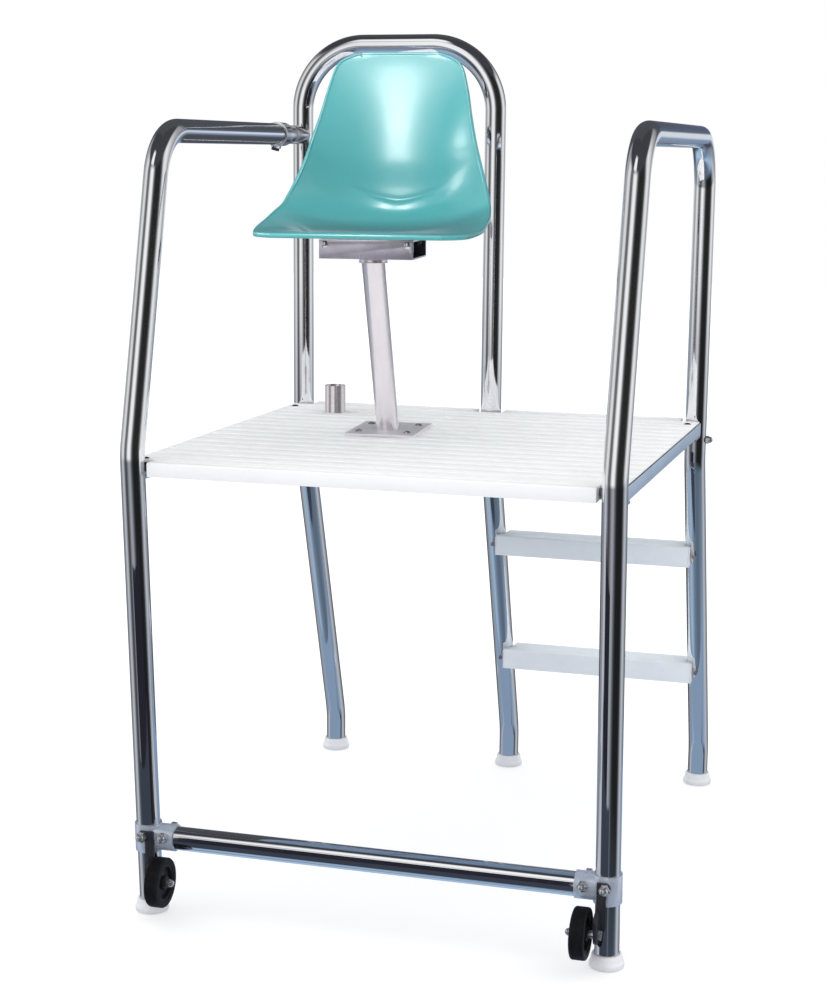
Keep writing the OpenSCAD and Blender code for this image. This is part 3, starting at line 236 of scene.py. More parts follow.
# %% [markdown]
# Three more things hang in the room. A dark ceiling keeps the top of the bends dark, a small white
# box in it gives them one highlight, and a wall behind the chair has a pale band at the horizon,
# which the rails mirror. Each has its mask over the turn or the height, and two more masks choose
# between the rings of cards. Heights run from 0, straight down, to 1, straight up.

# %% World, masks
DARK_CEILING = (0.05, 0.05, 0.06, 1)
WHITE = (1, 1, 1, 1)
box_side = add_ramp(turn, [(0.34, 0), (0.37, 1), (0.425, 1), (0.45, 0)])
back_side = add_ramp(turn, [(0.105, 1), (0.13, 0), (0.87, 0), (0.895, 1)])
overhead = add_ramp(height, [(0.0, 0), (0.76, 0), (0.82, 1), (1.0, 1)])
box_height = add_ramp(height, [(0.79, 0), (0.82, 1), (0.92, 1), (0.945, 0)])
ground = add_ramp(height, [(0.0, 1), (0.18, 1), (0.30, 0), (1.0, 0)])
low_side = add_ramp(height, [(0.0, 1), (0.42, 1), (0.465, 0), (1.0, 0)])
back_wall = add_ramp(height, [(0.0, 0.10, 0.11, 0.13), (0.36, 0.07, 0.075, 0.085),
                              (0.40, 0.09, 0.10, 0.13), (0.43, 0.20, 0.28, 0.40),
                              (0.455, 0.24, 0.32, 0.45), (0.476, 0.66, 0.70, 0.76),
                              (0.522, 0.70, 0.73, 0.78), (0.542, 0.11, 0.14, 0.22),
                              (0.60, 0.075, 0.085, 0.10), (1.0, 0.07)])
belts = blend_colours(sky, "MIX", low_side, high_cards, low_cards)
dark_top = blend_colours(sky, "MIX", overhead, belts, DARK_CEILING)
box_mask = blend_colours(sky, "MULTIPLY", 1.0, box_height, box_side)
with_box = blend_colours(sky, "MIX", box_mask, dark_top, WHITE)
with_back = blend_colours(sky, "MIX", back_side, with_box, back_wall)
room = blend_colours(sky, "MIX", ground, with_back, ground_cards)
print("world parts", len(sky.nodes))

# %% [markdown]
# The room is only for reflections. A gloss ray sees the cards, a camera ray sees plain white, as
# in a catalogue picture, and every other ray sees an even soft light, which reaches all sides of
# the chair without a hard shadow.

# %% World, rays
SOFT_LIGHT = 1.25
path = add_node(sky, "ShaderNodeLightPath")
seen_white = add_node(sky, "ShaderNodeBackground", in_0=WHITE, in_1=1.0)
seen_soft = add_node(sky, "ShaderNodeBackground", in_0=WHITE, in_1=SOFT_LIGHT)
seen_cards = wire(sky, room, add_node(sky, "ShaderNodeBackground", in_1=1.0), out=MIXED_COLOUR)


def choose_by_ray(kind, otherwise, chosen):
    """A shader mix that shows one background to one kind of ray and another to the rest."""
    mix = wire(sky, path, add_node(sky, "ShaderNodeMixShader"), out=kind)
    wire(sky, otherwise, mix, into=1)
    return wire(sky, chosen, mix, into=2)


lighting = choose_by_ray("Is Glossy Ray", seen_soft, seen_cards)
wire(sky, choose_by_ray("Is Camera Ray", lighting, seen_white),
     add_node(sky, "ShaderNodeOutputWorld"))
bpy.context.scene.view_settings.view_transform = "Standard"
print("soft light", SOFT_LIGHT)

# %% [markdown]
# ## The lamps
# Four lamps light the seat alone: a tall soft box in three parts, which lies in its back as a
# broad highlight, and a panel at the left for its side. Light linking keeps them to the seat, so
# no tube mirrors them.

# %% Lamps
SEAT_BACK = (-0.13, 0.05, 1.55)
# Place, width and height, and watts of each lamp
LAMPS = {"foot_box": ((-0.42, -3.1, 1.58), (0.80, 0.35), 15),
         "low_box": ((-0.40, -3.1, 2.25), (0.50, 0.8), 31),
         "high_box": ((-0.46, -2.3, 4.0), (0.70, 1.5), 62),
         "left_panel": ((-3.2, -1.1, 2.0), (0.9, 1.3), 28)}
seat_only = bpy.data.collections.new("lit_by_lamps")


def add_lamp(name, place, size, watts):
    """An area lamp that looks at the seat's back and lights the seat alone."""
    data = bpy.data.lights.new(name, "AREA")
    data.shape, data.size, data.size_y, data.energy = "RECTANGLE", size[0], size[1], watts
    lamp = bpy.data.objects.new(name, data)
    bpy.context.scene.collection.objects.link(lamp)
    lamp.location = place
    way = Vector(SEAT_BACK) - Vector(place)
    lamp.rotation_euler = way.to_track_quat("-Z", "Y").to_euler()
    lamp.light_linking.receiver_collection = seat_only


for lamp_name, values in LAMPS.items():
    add_lamp(lamp_name, *values)
print("lamps", list(LAMPS))

# %% [markdown]
# ## The floor
# The floor is a pale sheet. To the camera it is lifted towards white, so that only the chair's
# shadow stays on it. Light that falls back from it is greyer, or the undersides would be too
# bright. Gloss rays pass it, so that the tubes' streaks run down to their feet.

# %% Floor
FLOOR_TONE, FLOOR_BOUNCE = (0.93, 0.93, 0.94, 1), (0.62, 0.64, 0.68, 1)
FLOOR_GLOW, GLOW_SHARE = 1.30, 0.35
FLOOR_Z = -0.0005


def deselect():
    """Leaves edit mode and deselects everything."""
    if bpy.context.object and bpy.context.object.mode != "OBJECT":
        bpy.ops.object.mode_set(mode="OBJECT")
    bpy.ops.object.select_all(action="DESELECT")


def stage_piece(name):
    """Names the new plane as a part of the stage and gives it an empty material."""
    piece = bpy.context.object
    piece.name = name
    piece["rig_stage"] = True
    material = bpy.data.materials.new(name)
    material.use_nodes = True
    material.node_tree.nodes.clear()
    piece.data.materials.append(material)
    return piece, material.node_tree


deselect()
bpy.ops.mesh.primitive_plane_add(size=40, location=(0, 0, FLOOR_Z))
floor, tree = stage_piece("studio_floor")
floor.visible_glossy = False
light_path = add_node(tree, "ShaderNodeLightPath")
tone = blend_colours(tree, "MIX", None, FLOOR_TONE, FLOOR_BOUNCE)
wire(tree, light_path, tone, out="Is Diffuse Ray")
paper = wire(tree, tone, add_node(tree, "ShaderNodeBsdfDiffuse"), out=MIXED_COLOUR)
glow = add_node(tree, "ShaderNodeEmission", in_0=WHITE, in_1=FLOOR_GLOW)
share = add_node(tree, "ShaderNodeMath", operation="MULTIPLY", in_1=GLOW_SHARE)
wire(tree, light_path, share, out="Is Camera Ray")
lifted = wire(tree, share, add_node(tree, "ShaderNodeMixShader"))
wire(tree, paper, lifted, into=1)
wire(tree, glow, lifted, into=2)
wire(tree, lifted, add_node(tree, "ShaderNodeOutputMaterial"))
print("floor at", FLOOR_Z)

# %% [markdown]
# ## The standing cards
# The world is far away, so its cards look the same from every part of the chair. What should
# change with the place needs real cards. Two dark ones low in front keep the front bar dark, as in
# the photograph, and a pale blue one in front of the back legs lights their lowest part. Only
# gloss rays see them.

# %% Standing cards
# Lower left corner, upper right corner and colour of each card
CARDS = {"black_card": ((-0.70, -1.25, 0.03), (0.29, -1.25, 0.54), (0.02, 0.02, 0.03)),
         "dusk_card": ((-0.95, -1.25, -1.0), (0.60, -1.25, 0.03), (0.045, 0.053, 0.075)),
         "rear_card": ((-1.00, 0.35, -0.30), (1.60, 0.35, 0.10), (0.24, 0.33, 0.46))}


def add_card(name, low, high, colour):
    """A standing card that glows in one colour and that only gloss rays see."""
    deselect()
    bpy.ops.mesh.primitive_plane_add(
        size=1, rotation=(math.radians(90), 0, 0),
        location=((low[0] + high[0]) / 2, low[1], (low[2] + high[2]) / 2))
    card, tree = stage_piece(name)
    card.scale = (high[0] - low[0], high[2] - low[2], 1)
    for kind in ("camera", "diffuse", "shadow", "transmission", "volume_scatter"):
        setattr(card, "visible_" + kind, False)
    wire(tree, add_node(tree, "ShaderNodeEmission", in_0=(*colour, 1), in_1=1.0),
         add_node(tree, "ShaderNodeOutputMaterial"))


for card_name, values in CARDS.items():
    add_card(card_name, *values)
print("cards", list(CARDS))

# %% [markdown]
# ## Shared effects
# Real surfaces are never even. Three small node groups give every finish its life: drifting
# smudges, grain drawn out along one direction, and fine bumps. They read Object coordinates, so
# they stay on the piece when it moves. Smudges and grain are noise whose middle range is stretched
# to run between a low and a high value, so they share that last step.

# %% Group helpers
NOISE_LOW, NOISE_HIGH = 0.3, 0.7
VECTOR, FLOAT = "NodeSocketVector", "NodeSocketFloat"


def new_group(name, sockets, result_name, result_kind):
    """An empty node group with named inputs and one output, and its two end nodes."""
    group = bpy.data.node_groups.new(name, "ShaderNodeTree")
    for label, kind, value in sockets:
        socket = group.interface.new_socket(label, in_out="INPUT", socket_type=kind)
        if value is not None:
            socket.default_value = value
    group.interface.new_socket(result_name, in_out="OUTPUT", socket_type=result_kind)
    return group, group.nodes.new("NodeGroupInput"), group.nodes.new("NodeGroupOutput")


def spread_noise(group, given, noise, result):
    """Stretches a noise to run from the group's Low to its High."""
    spread = add_node(group, "ShaderNodeMapRange", in_1=NOISE_LOW, in_2=NOISE_HIGH)
    wire(group, noise, spread)
    wire(group, given, spread, out="Low", into=3)
    wire(group, given, spread, out="High", into=4)
    wire(group, spread, result)


print("a noise is stretched from", NOISE_LOW, "to", NOISE_HIGH)

# %% [markdown]
# Smudges are soft clouds, as on metal that hands have touched. Grain is noise that is squeezed
# across the lines and drawn out along them, as on a brushed sheet. Speckle is a bump: orange peel
# in a coat, pits in a casting or tooth in rubber, by its scale.

# %% Node groups


def build_smudges():
    """A soft mask of large and small clouds, between a low and a high value."""
    group, given, result = new_group(
        "smudges", [("Vector", VECTOR, None), ("Scale", FLOAT, 6.0), ("Low", FLOAT, 0.0),
                    ("High", FLOAT, 1.0)], "Value", FLOAT)
    cloud = add_node(group, "ShaderNodeTexNoise", in_3=4.0, in_4=0.6)
    wire(group, given, cloud, out="Vector")
    wire(group, given, cloud, out="Scale", into=2)
    spread_noise(group, given, cloud, result)
    return group


def build_grain():
    """Fine lines: noise that is squeezed across the grain and drawn out along it."""
    group, given, result = new_group(
        "grain", [("Vector", VECTOR, None), ("Squeeze", VECTOR, (900, 900, 12)),
                  ("Low", FLOAT, 0.0), ("High", FLOAT, 1.0)], "Value", FLOAT)
    squeeze = add_node(group, "ShaderNodeVectorMath", operation="MULTIPLY")
    wire(group, given, squeeze, out="Vector")
    wire(group, given, squeeze, out="Squeeze", into=1)
    lines = add_node(group, "ShaderNodeTexNoise", in_2=1.0, in_3=3.0, in_4=0.55)
    wire(group, squeeze, lines)
    spread_noise(group, given, lines, result)
    return group


def build_speckle():
    """Small bumps, as a normal."""
    group, given, result = new_group(
        "speckle", [("Vector", VECTOR, None), ("Scale", FLOAT, 500.0), ("Strength", FLOAT, 0.1),
                    ("Depth", FLOAT, 0.0003)], "Normal", VECTOR)
    grit = add_node(group, "ShaderNodeTexNoise", in_3=2.0, in_4=0.5)
    wire(group, given, grit, out="Vector")
    wire(group, given, grit, out="Scale", into=2)
    bump = add_node(group, "ShaderNodeBump")
    wire(group, given, bump, out="Strength")
    wire(group, given, bump, out="Depth", into=1)
    wire(group, grit, bump, into=bump.inputs.find("Height"))
    wire(group, bump, result)
    return group


SMUDGES, GRAIN, SPECKLE = build_smudges(), build_grain(), build_speckle()
print("groups", [g.name for g in (SMUDGES, GRAIN, SPECKLE)])

# %% [markdown]
# ## The finishes
# One recipe makes them all: a base colour that drifts a little between two tones, a roughness that
# follows smudges or grain, and bumps at the scale of the real surface. What is the same all over,
# such as metal or a clear coat, is set on the shader itself.

# %% Recipe for a finish
MATERIALS = {}


def use_group(tree, group, coords, **values):
    """Places a node group in a material with its own values."""
    node = add_node(tree, "ShaderNodeGroup")
    node.node_tree = group
    wire(tree, coords, node, out="Object")
    for name, value in values.items():
        node.inputs[name].default_value = value
    return node


def finish(name, light, dark, rough, drift=5.0, grain=None, bump=None, metal=0.0, coat=0.0,
           coat_rough=0.05, specular=0.5):
    """A named material. light and dark are its two tones, rough the range of its roughness, drift
    the scale of its clouds, grain the squeeze of its lines, and bump the scale, strength and depth
    of its speckle."""
    material = bpy.data.materials.new(name + "_finish")
    material.use_nodes = True
    tree = material.node_tree
    shader = tree.nodes["Principled BSDF"]
    socket = shader.inputs.find
    coords = add_node(tree, "ShaderNodeTexCoord")
    clouds = use_group(tree, SMUDGES, coords, Scale=drift)
    tones = blend_colours(tree, "MIX", clouds, (*dark, 1), (*light, 1))
    wire(tree, tones, shader, out=MIXED_COLOUR, into=socket("Base Color"))
    if grain:
        lines = use_group(tree, GRAIN, coords, Squeeze=grain, Low=rough[0], High=rough[1])
    else:
        lines = use_group(tree, SMUDGES, coords, Scale=drift * 3, Low=rough[0], High=rough[1])
    wire(tree, lines, shader, into=socket("Roughness"))
    if bump:
        speckle = use_group(tree, SPECKLE, coords, Scale=bump[0], Strength=bump[1], Depth=bump[2])
        wire(tree, speckle, shader, into=socket("Normal"))
    for label, value in (("Metallic", metal), ("Coat Weight", coat),
                         ("Coat Roughness", coat_rough), ("Specular IOR Level", specular)):
        shader.inputs[label].default_value = value
    MATERIALS[name] = material


print("a finish has tones, a roughness and, where it is rough, bumps")

# %% [markdown]
# The frame is polished stainless tube, whose streaks need a low roughness. The tees and the clamp
# are cast: fine bumps break their reflections. The post, the bracket and the sleeve are satin; the
# bracket's is a darker tone, painted shade from the seat above it. What is under the deck was left
# as it came from the mill, with the grain of its rolling.

# %% Metals
finish("polished_tube", (0.90, 0.91, 0.93), (0.84, 0.85, 0.88), (0.035, 0.085), drift=4, metal=1.0)
finish("bright_fastener", (0.80, 0.80, 0.80), (0.70, 0.70, 0.71), (0.18, 0.30), drift=40,
       metal=0.9)
finish("cast_fitting", (0.66, 0.72, 0.84), (0.56, 0.62, 0.74), (0.24, 0.34), drift=18, metal=0.5,
       bump=(420, 0.2, 0.0004))
finish("polished_fitting", (0.80, 0.82, 0.86), (0.68, 0.70, 0.75), (0.14, 0.26), drift=18,
       metal=1.0, bump=(420, 0.12, 0.0004))
# Painted shade: a near-black tone for faces in shadow, inside the seat's channel and on the angles'
# top edges
finish("painted_shade", (0.040, 0.038, 0.045), (0.020, 0.020, 0.025), (0.5, 0.7), drift=20,
       metal=0.3)
finish("satin_steel", (0.90, 0.85, 0.88), (0.80, 0.75, 0.79), (0.14, 0.22), drift=9, metal=0.80)
finish("plate_satin", (0.88, 0.85, 0.90), (0.78, 0.75, 0.81), (0.35, 0.50), drift=14, metal=0.5)
# The bracket's satin, drawn darker as painted shade from the seat above it
finish("bracket_satin", (0.70, 0.65, 0.73), (0.56, 0.51, 0.59), (0.25, 0.38), drift=26, metal=0.72)
finish("under_deck_metal", (0.72, 0.75, 0.80), (0.60, 0.63, 0.68), (0.34, 0.5), drift=10,
       metal=1.0, grain=(900, 14, 900))
finish("dark_bolt", (0.075, 0.065, 0.09), (0.03, 0.03, 0.04), (0.3, 0.5), drift=60, metal=0.8)
print("metals", list(MATERIALS))

# %% [markdown]
# The boards, angles and treads are coated aluminium, the feet and tyres rubber, and the seat a
# moulded plastic with a glossy skin. The skin is a clear coat over a duller base, so that the
# lamps lie in it as one soft highlight. Each node then takes the finish that the record names.

# %% Paints, plastics and rubber
finish("deck_board", (0.945, 0.95, 0.955), (0.905, 0.91, 0.92), (0.42, 0.55), drift=7,
       bump=(900, 0.18, 0.0003))
finish("deck_angle", (0.52, 0.63, 0.78), (0.44, 0.55, 0.70), (0.34, 0.46), drift=8,
       grain=(900, 12, 900), metal=0.4)
finish("tread", (0.88, 0.93, 0.97), (0.82, 0.87, 0.92), (0.4, 0.52), drift=12,
       bump=(700, 0.15, 0.0003))
finish("tread_cap", (0.86, 0.87, 0.89), (0.80, 0.81, 0.84), (0.3, 0.42), drift=14)
finish("foot_rubber", (0.88, 0.89, 0.91), (0.76, 0.77, 0.80), (0.5, 0.65), drift=24,
       bump=(600, 0.3, 0.0004))
finish("bush_nylon", (0.82, 0.81, 0.74), (0.74, 0.73, 0.66), (0.35, 0.45), drift=40)
finish("seat_shell", (0.062, 0.300, 0.310), (0.050, 0.270, 0.283), (0.34, 0.42), drift=3,
       coat=0.85, coat_rough=0.22, bump=(260, 0.05, 0.0004), specular=0.6)
finish("bracket_paint", (0.028, 0.028, 0.036), (0.016, 0.016, 0.022), (0.28, 0.42), drift=30,
       bump=(500, 0.12, 0.0003))
finish("tyre", (0.012, 0.012, 0.014), (0.007, 0.007, 0.009), (0.45, 0.62), drift=40,
       bump=(800, 0.3, 0.0004), specular=0.3)
finish("hub", (0.018, 0.018, 0.021), (0.010, 0.010, 0.013), (0.3, 0.42), drift=40,
       bump=(500, 0.1, 0.0002), specular=0.35)

SLOT_OF = {part["node"]: part["material_slot"] for part in frame["record"]["subparts"]}
for node_name, cad in frame["nodes"].items():
    cad.data.materials.clear()
    cad.data.materials.append(MATERIALS[SLOT_OF[node_name]])
print("finishes", len(MATERIALS), "on", len(frame["nodes"]), "nodes")

# %% [markdown]
# ## A helper for the finished pieces
# Each new piece takes the place of one CAD node: that node is hidden, and the piece moves with its
# body and takes its finish. Its place is put into its mesh, so its object sits at the origin. What
# repeats on the chair is modelled once and copied, and each copy has its own mesh.

# %% Helpers


def duplicate(piece):
    """A copy of a piece with its own mesh."""
    deselect()
    piece.select_set(True)
    bpy.context.view_layer.objects.active = piece
    bpy.ops.object.duplicate()
    return bpy.context.object


def copies(piece, count):
    """A piece and its copies, a number in all."""
    return [piece] + [duplicate(piece) for _ in range(count - 1)]


def hand_over(piece, name, node_name, angle=35):
    """Applies a piece's place, smooths it, and lets it stand for a CAD node."""
    deselect()
    piece.select_set(True)
    bpy.context.view_layer.objects.active = piece
    bpy.ops.object.transform_apply(location=True, rotation=True, scale=True)
    bpy.ops.object.shade_smooth_by_angle(angle=math.radians(angle))
    piece.name = name
    slot_name = SLOT_OF[node_name]
    piece.data.materials.clear()
    piece.data.materials.append(MATERIALS[slot_name])
    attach(piece, frame["nodes"][node_name]["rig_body"])
    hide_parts(node_name)
    deselect()
    print(name, len(piece.data.polygons), "faces")
    return piece


def add_modifier(piece, kind, **settings):
    """Adds a modifier and applies it."""
    modifier = piece.modifiers.new(kind.lower(), kind)
    for key, value in settings.items():
        setattr(modifier, key, value)
    bpy.context.view_layer.objects.active = piece
    bpy.ops.object.modifier_apply(modifier=modifier.name)


# %% [markdown]
# ## The bent tubes
# The frame is three long tubes of one diameter. The first runs from the left front foot into the
# left hand rail, the second over the whole right side, and the third makes the back hoop, whose
# inner leg is the ladder's. Each is told by its corners, as if it weren't bent, and by the radius
# of each bend.

# %% Corners of the tubes
LEFT_X, LADDER_X, RIGHT_X = -0.4775, -0.0085, 0.4775
FRONT_FOOT_Y, KNEE_Y, RAIL_Y, RAIL_END_Y = -0.557, -0.612, -0.456, 0.235
BACK_Y, BACK_FOOT_Y = 0.381, 0.626
TUBE_END_Z, ANKLE_Z, FLARE_Z, KNEE_Z, RAIL_Z, HOOP_Z = 0.008, 0.098, 0.853, 0.962, 1.581, 1.786
KNEE_BEND, RAIL_BEND, ARCH_BEND = 0.150, 0.115, 0.150


def front_leg(x):
    """Corners of a front leg, from its foot to the start of its hand rail."""
    return [(x, FRONT_FOOT_Y, TUBE_END_Z), (x, KNEE_Y, KNEE_Z), (x, RAIL_Y, RAIL_Z)]


def back_leg(x):
    """Corners of a back leg, from where it flares out under the deck to its foot."""
    return [(x, BACK_Y, FLARE_Z), (x, BACK_FOOT_Y, ANKLE_Z), (x, BACK_FOOT_Y, TUBE_END_Z)]


LEFT_CORNERS = front_leg(LEFT_X) + [(LEFT_X, RAIL_END_Y, RAIL_Z)]
RIGHT_CORNERS = front_leg(RIGHT_X) + [(RIGHT_X, BACK_Y, RAIL_Z)] + back_leg(RIGHT_X)
HOOP_CORNERS = (back_leg(LEFT_X)[::-1] + [(LEFT_X, BACK_Y, HOOP_Z), (LADDER_X, BACK_Y, HOOP_Z)]
                + back_leg(LADDER_X))
print("corners", len(LEFT_CORNERS), len(RIGHT_CORNERS), len(HOOP_CORNERS))

# %% [markdown]
# The real tubes were bent on a machine. We do the same: a ring of points stands at the foot, is
# drawn out along each straight run, and is spun round the centre of each bend. A curve with a round
# bevel would be quicker, but its bends aren't true arcs. Here they meet the runs at true tangents,
# so a reflection runs through without a step.

# %% Tubes
TUBE_R, TUBE_SIDES, STEP_DEGREES = 0.02415, 64, 3


def bend_tube(corners, bends):
    """Sweeps a ring along corners: extrude for a run, spin for a bend. Both ends are closed."""
    points = [Vector(c) for c in corners]
    ways = [(b - a).normalized() for a, b in zip(points, points[1:])]
    deselect()
    bpy.ops.mesh.primitive_circle_add(vertices=TUBE_SIDES, radius=TUBE_R, location=points[0],
                                      rotation=ways[0].to_track_quat("Z", "Y").to_euler())
    bpy.ops.object.transform_apply(location=True, rotation=True, scale=True)
    bpy.ops.object.mode_set(mode="EDIT")
    bpy.ops.mesh.select_all(action="SELECT")
    at = points[0]
    for i, way in enumerate(ways):
        last = i == len(ways) - 1
        turn_by = 0 if last else way.angle(ways[i + 1])
        cut = 0 if last else bends[i] * math.tan(turn_by / 2)
        stop = points[i + 1] - way * cut
        bpy.ops.mesh.extrude_region_move(TRANSFORM_OT_translate={"value": stop - at})
        if not last:
            axis = way.cross(ways[i + 1]).normalized()
            centre = stop + axis.cross(way) * bends[i]
            steps = max(6, round(math.degrees(turn_by) / STEP_DEGREES))
            bpy.ops.mesh.spin(steps=steps, angle=-turn_by, center=centre, axis=axis)
            at = points[i + 1] + ways[i + 1] * cut
    bpy.ops.mesh.select_all(action="SELECT")
    bpy.ops.mesh.remove_doubles(threshold=1e-5)
    bpy.ops.mesh.fill_holes(sides=TUBE_SIDES)
    bpy.ops.mesh.select_all(action="SELECT")
    bpy.ops.mesh.normals_make_consistent(inside=False)
    bpy.ops.object.mode_set(mode="OBJECT")
    return bpy.context.object


left_rail = bend_tube(LEFT_CORNERS, [KNEE_BEND, RAIL_BEND])
right_rail = bend_tube(RIGHT_CORNERS, [KNEE_BEND, RAIL_BEND, RAIL_BEND, KNEE_BEND, KNEE_BEND])
hoop = bend_tube(HOOP_CORNERS, [KNEE_BEND] * 2 + [ARCH_BEND] * 2 + [KNEE_BEND] * 2)
print("tubes", [len(t.data.vertices) for t in (left_rail, right_rail, hoop)])

# %% [markdown]
# ## The tabs and the front bar
# Below the deck each front tube carries a small welded tab, which takes the deck's corner bolt. It
# starts as a cube that is scaled to a plate, and its edges are rounded. A weld makes one piece of
# tab and tube, so we join them. The front bar is a straight run of the same tube.

# %% Tabs and front bar
TAB_LOW_Z, TAB_HIGH_Z = 0.910, 0.915
TAB_FRONT_Y, TAB_BACK_Y = -0.611, -0.5497
TAB_NEAR_X, TAB_FAR_X = 0.4555, 0.4955
BAR_END_X, BAR_Y, BAR_Z = 0.4485, -0.566, 0.164


def make_tab():
    """The left tab: a small plate with rounded edges."""
    low, high = (-TAB_FAR_X, TAB_FRONT_Y, TAB_LOW_Z), (-TAB_NEAR_X, TAB_BACK_Y, TAB_HIGH_Z)
    deselect()
    middle = [(a + b) / 2 for a, b in zip(low, high)]
    bpy.ops.mesh.primitive_cube_add(size=1, location=middle)
    tab = bpy.context.object
    tab.scale = [b - a for a, b in zip(low, high)]
    bpy.ops.object.transform_apply(location=True, rotation=True, scale=True)
    add_modifier(tab, "BEVEL", width=0.001, segments=2)
    return tab


def join(pieces):
    """Joins pieces into the first one."""
    deselect()
    for piece in pieces:
        piece.select_set(True)
    bpy.context.view_layer.objects.active = pieces[0]
    bpy.ops.object.join()
    return bpy.context.object


left_tab, right_tab = copies(make_tab(), 2)
right_tab.location.x = TAB_NEAR_X + TAB_FAR_X
hand_over(join([left_rail, left_tab]), "left_rail_tube", "left_front_rail")
hand_over(join([right_rail, right_tab]), "right_side_tube", "right_side_rail")
hand_over(hoop, "hoop_tube", "back_hoop")
bar = bend_tube([(-BAR_END_X, BAR_Y, BAR_Z), (BAR_END_X, BAR_Y, BAR_Z)], [])
hand_over(bar, "front_bar_tube", "front_bar")

# %% [markdown]
# ## Softened edges
# No cast, sawn or folded edge is a knife edge: the small round at each one catches a thin line of
# light. For the nodes whose shape is right, a copy of the CAD mesh is merged, its flat areas are
# made one face each, and a Bevel modifier rounds its edges. A bevel node in the material would
# look alike from afar, but it would leave the mesh sharp.

# %% Softened copies
FLAT_DEGREES, EDGE_DEGREES = 0.6, 32
SOFTENED = {}


def soften(node_name, width):
    """A copy of a CAD node with rounded edges, which stands for it."""
    piece = duplicate(frame["nodes"][node_name])
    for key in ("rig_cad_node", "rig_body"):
        if key in piece:
            del piece[key]
    piece.parent = None
    bpy.ops.mesh.customdata_custom_splitnormals_clear()
    bpy.ops.object.mode_set(mode="EDIT")
    bpy.ops.mesh.select_all(action="SELECT")
    bpy.ops.mesh.remove_doubles(threshold=2e-6)
    bpy.ops.mesh.dissolve_limited(angle_limit=math.radians(FLAT_DEGREES))
    bpy.ops.object.mode_set(mode="OBJECT")
    add_modifier(piece, "BEVEL", width=width, segments=2, limit_method="ANGLE",
                 angle_limit=math.radians(EDGE_DEGREES))
    SOFTENED[node_name] = hand_over(piece, node_name + "_rounded", node_name)


DECK_BOARDS = (["front_deck_board"] + [f"deck_board_{i}" for i in range(2, 9)]
               + ["rear_deck_board"])
CASTINGS = ["left_bar_tee", "right_bar_tee", "rail_end_clamp"]
SHEET_PARTS = ["left_deck_angle", "right_deck_angle", "upper_tread", "lower_tread",
               "tread_end_caps", "seat_bracket", "seat_plate", "left_wheel_bracket",
               "right_wheel_bracket", "rear_left_bracket", "ladder_bracket",
               "rear_right_bracket", "left_deck_bearer", "right_deck_bearer", "seat_post",
               "umbrella_sleeve"]
for names, width in ((DECK_BOARDS, 0.0009), (CASTINGS, 0.0012), (SHEET_PARTS, 0.0006)):
    for node_name in names:
        soften(node_name, width)

# %% [markdown]
# ## Two finishes on one piece
# One piece often has two finishes. The clamp at the end of the left rail was polished with its
# tube, so it takes a brighter one than the tees. The bracket under the seat is a folded channel:
# its outside takes the darker satin, and the faces that look into it take a near-black painted
# shade for the shadow inside the channel. The side angles' thin top edge takes the same painted
# shade, for the shadow line of the gap beside the boards' ends. The post's base plate is duller
# than its tube. The boards are coated from above, and their undersides are plain metal.

# %% Second finishes
SEAT_X, SEAT_Y, SEAT_TURN = -0.132, -0.152, 6.5
CHANNEL = Vector((SEAT_X, SEAT_Y, 1.3455))
CHANNEL_WAY = turned("Z", SEAT_TURN).to_3x3() @ Vector((1, 0, 0))
TOP_EDGE, BASE_PLATE_TOP = 0.004, 0.9585


def second_finish(node_name, finish_name, chosen):
    """Gives the chosen faces of a softened piece a second material."""
    piece = SOFTENED[node_name]
    piece.data.materials.append(MATERIALS[finish_name])
    faces = [face for face in piece.data.polygons if chosen(face)]
    for face in faces:
        face.material_index = 1
    print(piece.name, len(faces), finish_name, "faces")


def looks_inward(face):
    """True for a face that looks towards the middle line of the seat's channel."""
    inward = CHANNEL - face.center
    inward -= CHANNEL_WAY * inward.dot(CHANNEL_WAY)
    across = abs(face.normal.dot(CHANNEL_WAY)) < 0.5
    return across and face.normal.dot(inward.normalized()) > 0.6


SOFTENED["rail_end_clamp"].data.materials[0] = MATERIALS["polished_fitting"]
# The bracket takes the darker satin with painted shade
SOFTENED["seat_bracket"].data.materials[0] = MATERIALS["bracket_satin"]
# Faces inside the seat's channel get the near-black painted shade
for channel_part in ("seat_bracket", "seat_plate"):
    second_finish(channel_part, "painted_shade", looks_inward)
# The side angles' top edges get the painted shade, as the shadow line of the gap beside the boards
for side_name in ("left_deck_angle", "right_deck_angle"):
    shade_line_from = max(v.co.z for v in SOFTENED[side_name].data.vertices) - TOP_EDGE
    second_finish(side_name, "painted_shade",
                  lambda face: face.normal.z > 0.5 and face.center.z > shade_line_from)
second_finish("seat_post", "plate_satin", lambda face: face.center.z < BASE_PLATE_TOP)
for board in DECK_BOARDS:
    second_finish(board, "under_deck_metal", lambda face: face.normal.z < -0.7)

# %% [markdown]
# ## The seat shell
# The seat is one moulded shell: a broad cushion that turns up into the back, with a lip rolled
# over all round. It could be sculpted, but two curves are easier to check against the photograph:
# its middle line, as (back, up), and its side edge, as (out, back, up), both in millimetres from
# the top of the swivel.

# %% Seat curves
MIDDLE = [(-190, 15), (-172, 19), (-130, 18), (-70, 14), (20, 11), (105, 11), (180, 17),
          (235, 33), (272, 62), (277, 96), (272, 159), (274, 229), (281, 299), (288, 359),
          (292, 386)]
SIDE = [(172, -178, 14), (210, -152, 15), (224, -106, 18), (232, -48, 24), (231, 20, 36),
        (228, 75, 49), (220, 128, 66), (210, 160, 93), (199, 182, 122), (187, 200, 158),
        (175, 211, 200), (161, 238, 256), (148, 265, 318), (130, 281, 366), (86, 291, 386)]


